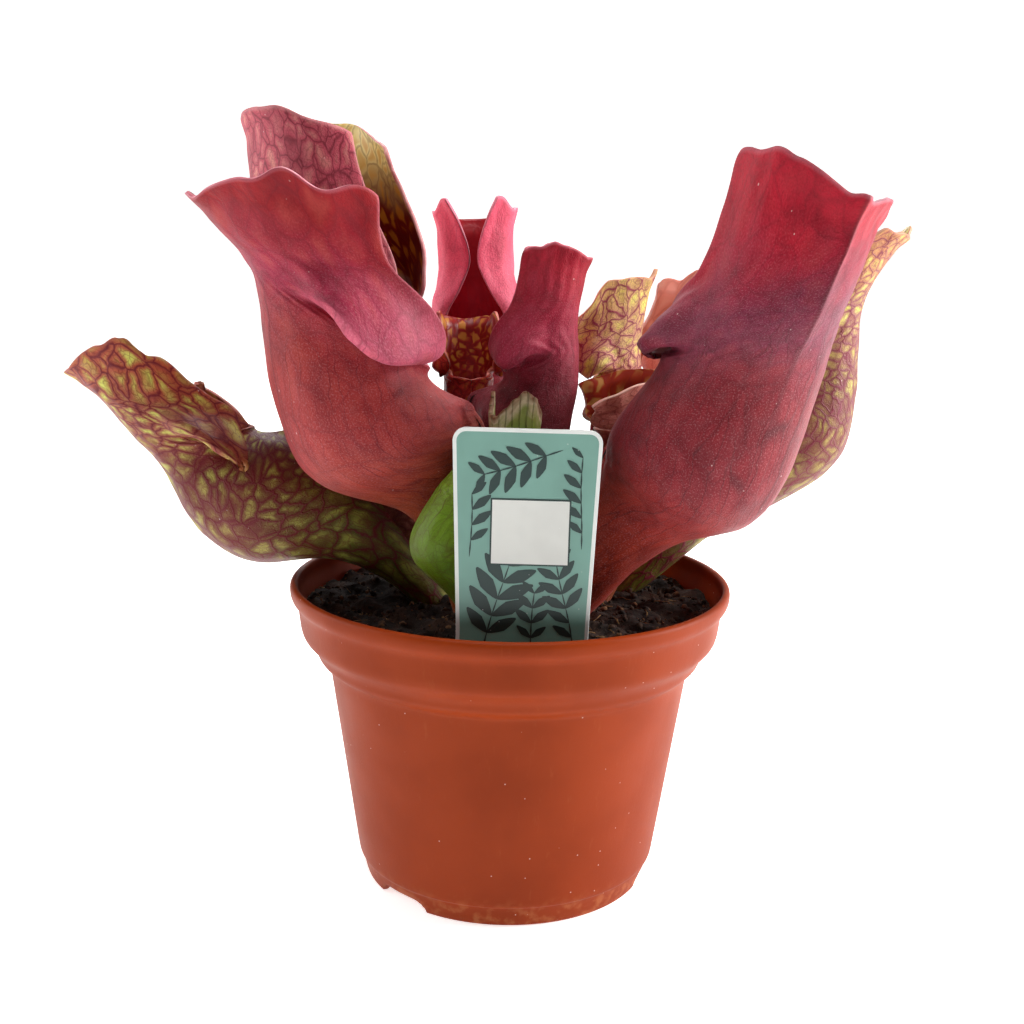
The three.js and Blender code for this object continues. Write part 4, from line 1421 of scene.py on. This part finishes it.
    def add_fibre(self, bm: bmesh.types.BMesh, rng: random.Random, x: float, y: float) -> None:
        """Lay one thin bent fibre on the surface.

        Args:
            bm: Where it is added.
            rng: The source of random numbers.
            x: Where it starts, to the right.
            y: Where it starts, to the back.
        """
        length = rng.uniform(*self.fibre_length)
        thick = rng.uniform(*self.fibre_radius)
        heading = rng.uniform(0, 2 * math.pi)
        bend = rng.uniform(-self.fibre_bend, self.fibre_bend)
        step = length / (len(self.fibre_taper) - 1)
        path = []
        for _ in self.fibre_taper:
            inside = math.hypot(x, y) < self.top_radius() - self.clear[1]
            path.append(Vector((x, y, (self.height(x, y) if inside else SOIL_LEVEL) + self.fibre_lift)))
            x += step * math.cos(heading)
            y += step * math.sin(heading)
            heading += bend
        reach = self.top_radius() - self.clear[2]
        for point in path:
            point.xy = point.xy / max(1.0, point.xy.length / reach)
        add_rod(bm, path, [thick * share for share in self.fibre_taper])


# ---------------------------------------------------------------- the label

# radians between two faces, past which their edge is rounded off
SHARP = 1.2


class Print(Enum):
    """The label's surfaces, in the order of their materials, and their colours."""

    WHITE = "#e4e6e2"
    TEAL = "#74a093"
    DARK = "#12302d"
    BARE = "#dcdcd6"

    @property
    def number(self) -> int:
        """The number of its material on the label."""
        return list(Print).index(self)


# each sprig's foot on the label, the way it starts in degrees, its length, pairs and longest leaflet
SPRIGS = (
    ((-9.5, 1.5), 78, 22, 5, 9.5), ((12.6, 1.5), 99, 26, 7, 6.5), ((-13.2, 25.0), 88, 15, 4, 6.0),
    ((2.0, 1.0), 86, 15, 4, 5.5), ((8.0, 51.0), 197, 19, 5, 7.0), ((13.6, 27.5), 88, 22, 6, 5.5),
)


@dataclass(frozen=True)
class PlantLabel:
    """A flat plastic label with a white border, a teal print of leafy sprigs and a bare frame.

    Heights on it are counted from the soil. The frame and the sprigs stand proud of the field in steps, so
    that no two prints share a plane.
    """

    place: tuple[float, float, float] = (3.1, -45.5, SOIL_LEVEL)
    top_width: float = 35.5
    soil_width: float = 32.2
    above: float = 56.0
    below: float = 15.0
    tip: float = 8.0
    corner: float = 3.2
    corner_steps: int = 8
    taper: float = 0.12
    thickness: float = 0.8
    edge_round: float = 0.12
    lean: float = 0.5
    border: float = 0.8
    frame_centre: tuple[float, float] = (1.2, 31.0)
    frame_size: tuple[float, float] = (18.4, 15.6)
    frame_line: float = 0.8
    frame_proud: tuple[float, float] = (0.15, 0.18)
    sprig_proud: tuple[float, float] = (0.05, 0.014)
    stem: float = 0.4
    leaflet_sides: int = 14
    leaflet_width: float = 0.38
    leaflet_turn: float = 50.0
    leaflet_reach: float = 0.42
    side_clear: float = 0.2
    top_clear: float = 0.4
    cloud_size: float = 9.0
    grain_size: float = 0.4
    speck_spacing: float = 3.6
    wear: float = 0.86

    def outline(self) -> list[tuple[float, float]]:
        """The label's outline, from the buried point up one side and down the other.

        Returns:
            Its corners.
        """
        top, mid, point = self.top_width / 2, self.soil_width / 2, self.tip / 2
        taper = self.above * self.taper
        right = [(point, -self.below), (mid, -taper * 0.5), (mid, taper), (top, self.above - self.corner)]
        for i in range(1, self.corner_steps + 1):
            angle = math.pi / 2 * i / self.corner_steps
            x, y = self.corner * (1 - math.cos(angle)), self.corner * (1 - math.sin(angle))
            right.append((top - x, self.above - y))
        return right + [(-x, y) for x, y in reversed(right)]

    def build(self) -> bpy.types.Object:
        """Cut the plate, part its border from its printed field and add the print.

        Returns:
            The label's piece.
        """
        bm = bmesh.new()
        face = bm.faces.new([bm.verts.new((x, 0, z)) for x, z in self.outline()])
        made = bmesh.ops.extrude_face_region(bm, geom=[face])
        moved = [v for v in made["geom"] if isinstance(v, bmesh.types.BMVert)]
        bmesh.ops.translate(bm, verts=moved, vec=(0, self.thickness, 0))
        bmesh.ops.recalc_face_normals(bm, faces=bm.faces)
        rims = [e for e in bm.edges if e.calc_face_angle(0) > SHARP]
        bmesh.ops.bevel(bm, geom=rims, offset=self.edge_round, offset_type="OFFSET", segments=2,
                        profile=0.5, affect="EDGES", material=-1)
        front = min(bm.faces, key=lambda f: (f.calc_center_median().y, -f.calc_area()))
        bmesh.ops.inset_region(bm, faces=[front], thickness=self.border)
        front.material_index = Print.TEAL.number
        self.print_design(bm)
        turn = Matrix.Rotation(math.radians(self.lean), 4, "Y")
        middle = Matrix.Translation((0, -self.thickness / 2, 0))
        bm.transform(Matrix.Translation(self.place) @ turn @ middle)
        piece = make_piece("label_plate", bm, self.materials(), ["plant_label"])
        for polygon in piece.data.polygons:
            polygon.use_smooth = False
        return piece

    def print_design(self, bm: bmesh.types.BMesh) -> None:
        """Lay down the sprigs and the bare frame.

        Args:
            bm: The label's mesh.
        """
        lowest, rise = self.sprig_proud
        for number, (foot, angle, length, pairs, reach) in enumerate(SPRIGS):
            self.add_sprig(bm, foot, math.radians(angle), length, pairs, reach, lowest + rise * number)
        self.add_plate(bm, self.frame_line, self.frame_proud[0], Print.DARK)
        self.add_plate(bm, 0.0, self.frame_proud[1], Print.BARE)

    def add_plate(self, bm: bmesh.types.BMesh, wider: float, proud: float, look: Print) -> None:
        """Lay one thin plate of print where the frame is.

        Args:
            bm: Where it is added.
            wider: How much larger than the frame it is.
            proud: How far it stands off the field.
            look: What it is printed in.
        """
        x, z = self.frame_centre
        width, height = self.frame_size
        size = Matrix.Diagonal((width + wider, 2 * proud, height + wider, 1))
        made = bmesh.ops.create_cube(bm, size=1.0, matrix=Matrix.Translation((x, 0, z)) @ size)
        number_faces(made["verts"], look.number)

    def add_leaflet(self, bm: bmesh.types.BMesh, centre: tuple[float, float], angle: float, length: float,
                    width: float, proud: float) -> None:
        """Lay one pointed leaflet of print on the field.

        Args:
            bm: Where it is added.
            centre: Its middle on the field.
            angle: The way it points, in radians.
            length: Its length.
            width: Its width.
            proud: How far it stands off the field.
        """
        made = bmesh.ops.create_cone(bm, cap_ends=True, segments=self.leaflet_sides, radius1=1, radius2=1,
                                     depth=2 * proud)
        place = Matrix.Translation((centre[0], 0, centre[1])) @ Matrix.Rotation(-angle, 4, "Y")
        for vert in made["verts"]:
            x, y, z = vert.co
            pinch = math.sqrt(max(0.0, 1 - x * x)) * (1 - 0.45 * abs(x))
            vert.co = place @ Vector((x * length / 2, -z, math.copysign(pinch, y) * width / 2))
        number_faces(made["verts"], Print.DARK.number)

    def add_sprig(self, bm: bmesh.types.BMesh, foot: tuple[float, float], angle: float, length: float,
                  pairs: int, reach: float, proud: float) -> None:
        """Lay one bending sprig with pairs of leaflets.

        Args:
            bm: Where it is added.
            foot: Its foot on the field.
            angle: The way it starts, in radians.
            length: The length of its stem.
            pairs: How many pairs of leaflets it has.
            reach: The length of its longest leaflets.
            proud: How far it stands off the field.
        """
        x, z = foot
        step = length / pairs
        for i in range(pairs):
            angle += 0.05 * math.sin(i * 0.9 + foot[0])
            middle = (x + step / 2 * math.cos(angle), z + step / 2 * math.sin(angle))
            self.add_leaflet(bm, middle, angle, step * 1.25, self.stem, proud * 0.8)
            x += step * math.cos(angle)
            z += step * math.sin(angle)
            leaf = reach * math.sin(math.pi * (0.3 + 0.6 * i / pairs)) ** 0.8
            for side in (-1, 1):
                out = angle + side * math.radians(self.leaflet_turn)
                centre = (x + leaf / 2 * math.cos(out), z + leaf / 2 * math.sin(out))
                if self.within(centre, leaf):
                    self.add_leaflet(bm, centre, out, leaf, leaf * self.leaflet_width, proud)

    def within(self, centre: tuple[float, float], reach: float) -> bool:
        """Whether a leaflet stays on the printed field.

        Args:
            centre: The leaflet's middle.
            reach: Its length.

        Returns:
            Whether it does.
        """
        reach *= self.leaflet_reach
        side = self.soil_width / 2 - self.border - self.side_clear
        top = self.above - self.border - self.top_clear
        return abs(centre[0]) + reach < side and centre[1] + reach < top

    def materials(self) -> list[bpy.types.Material]:
        """White plastic, teal print, dark print and the bare frame's white.

        Returns:
            The materials in that order.
        """
        looks = []
        for look in Print:
            s = Shader(f"label_{look.name.lower()}")
            place = s.object_place()
            cloud = s.noise(place, self.cloud_size, 2.0)
            grain = s.noise(place, self.grain_size, 2.0)
            clean = tint(look.value)
            worn = tuple(channel * self.wear for channel in clean[:3])
            colour = s.mix(s.step(cloud, 0.35, 0.7) * 0.5, clean, (*worn, 1.0))
            specks = s.specks(place, self.speck_spacing, 0.05, 0.03)
            colour = s.mix(specks * 0.4, colour, tint("#f2f2ee"))
            looks.append(s.close(colour, grain * 0.15 + 0.28, s.bump(grain, 0.02, 0.5)))
        return looks


# ---------------------------------------------------------------- the studio


class LightRole(Enum):
    """What each lamp of the studio does."""

    KEY = "key"
    FILL = "fill"
    TOP = "top"
    RIM = "rim"


WHITE = tint("#ffffff")
PLANT_MIDDLE = Vector((0.0, 0.0, 0.1))


def glowing(name: str, colour: Colour, roughness: float, strength: float) -> bpy.types.Material:
    """A plain pale material that gives off white light of that strength."""
    return Shader(name).close(colour, roughness, Emission_Color=WHITE, Emission_Strength=strength)


@dataclass(frozen=True)
class Lamp:
    """One soft square lamp that looks at the plant."""

    role: LightRole
    place: tuple[float, float, float]
    size: float
    power: float

    def build(self) -> None:
        """Hang the lamp and turn it to the plant's middle."""
        light = bpy.data.lights.new(f"lamp_{self.role.value}", "AREA")
        light.size = self.size
        light.energy = self.power
        lamp = bpy.data.objects.new(light.name, light)
        bpy.context.scene.collection.objects.link(lamp)
        lamp.location = Vector(self.place)
        aim = PLANT_MIDDLE - lamp.location
        lamp.rotation_euler = aim.to_track_quat("-Z", "Y").to_euler()


@dataclass(frozen=True)
class Studio:
    """Pale floor that sweeps up behind, pale shell around, soft lamps and the camera at the photo's angle."""

    lamps: tuple[Lamp, ...] = (
        Lamp(LightRole.KEY, (0.85, 0.05, 0.4), 0.5, 13.5),
        Lamp(LightRole.FILL, (-0.85, 0.1, 0.4), 0.5, 5.0),
        Lamp(LightRole.TOP, (0.0, -0.05, 1.1), 0.5, 5.5),
        Lamp(LightRole.RIM, (0.1, 0.9, 0.8), 0.6, 5.0),
    )
    pitch: float = 12.45
    roll: float = 1.1
    distance: float = 0.375
    aim: tuple[float, float, float] = (0.00015, 0.0, 0.1018)
    focal_pixels: float = 1377.2
    frame_pixels: float = 1024.0
    sensor: float = 36.0
    nearest: float = 0.01
    world_glow: float = 0.1
    floor_glow: float = 0.7
    floor_half: tuple[float, float] = (5.0, 4.0)
    floor_flat: float = 1.5
    floor_drawn_in: float = 0.4
    floor_rise: float = 0.45
    shell_glow: float = 1.0
    shell_radius: float = 9.0

    def build(self) -> None:
        """Make the floor, the lamps, the surroundings and the camera."""
        self.floor()
        self.shell()
        for lamp in self.lamps:
            lamp.build()
        world = bpy.data.worlds.new("surroundings")
        world.use_nodes = True
        background = world.node_tree.nodes["Background"]
        background.inputs["Color"].default_value = WHITE
        background.inputs["Strength"].default_value = self.world_glow
        bpy.context.scene.world = world
        bpy.context.scene.view_settings.view_transform = "Standard"
        self.camera()

    def floor(self) -> None:
        """Lay a wide floor whose far side curves up into a backdrop."""
        bm = bmesh.new()
        bmesh.ops.create_grid(bm, x_segments=8, y_segments=60, size=1.0)
        for vert in bm.verts:
            x, y = vert.co.x * self.floor_half[0], vert.co.y * self.floor_half[1]
            bend = max(0.0, y - self.floor_flat)
            vert.co = (x, y - self.floor_drawn_in * bend, self.floor_rise * bend * bend)
        pale = glowing("pale_floor", tint("#f7f7f6"), 0.7, self.floor_glow)
        floor = make_object("floor", bm, [pale])

    def shell(self) -> None:
        """Close the view on every side with a pale shell that gives no light and casts no shadow."""
        bm = bmesh.new()
        bmesh.ops.create_icosphere(bm, subdivisions=4, radius=self.shell_radius)
        bmesh.ops.reverse_faces(bm, faces=bm.faces)
        pale = glowing("pale_shell", WHITE, 1.0, self.shell_glow)
        shell = make_object("shell", bm, [pale], rounded=False)
        shell.visible_diffuse = False
        shell.visible_glossy = False
        shell.visible_transmission = False
        shell.visible_shadow = False

    def camera(self) -> None:
        """Set the camera where the photo was taken from."""
        data = bpy.data.cameras.new("camera")
        data.sensor_width = self.sensor
        data.lens = self.focal_pixels * self.sensor / self.frame_pixels
        data.clip_start = self.nearest
        camera = bpy.data.objects.new("camera", data)
        bpy.context.scene.collection.objects.link(camera)
        pitch = math.radians(self.pitch)
        look = Vector((0, math.cos(pitch), -math.sin(pitch)))
        camera.location = Vector(self.aim) + POT_CENTRE - look * self.distance
        roll = Matrix.Rotation(math.radians(self.roll), 4, "Z")
        turn = Matrix.Rotation(math.pi / 2 - pitch, 4, "X") @ roll
        camera.rotation_euler = turn.to_euler()
        bpy.context.scene.camera = camera


def main() -> None:
    """Build the pot, the soil, the label, the leaves and the studio in order."""
    logging.basicConfig(level=logging.INFO, format="%(message)s")
    pot = NurseryPot()
    pot.build()
    soil = Soil(pot)
    soil.build()
    soil.scatter()
    PlantLabel().build()
    CutLeaf().build()
    for pitcher in PITCHERS:
        pitcher.build()
    Studio().build()


if __name__ == "__main__":
    main()
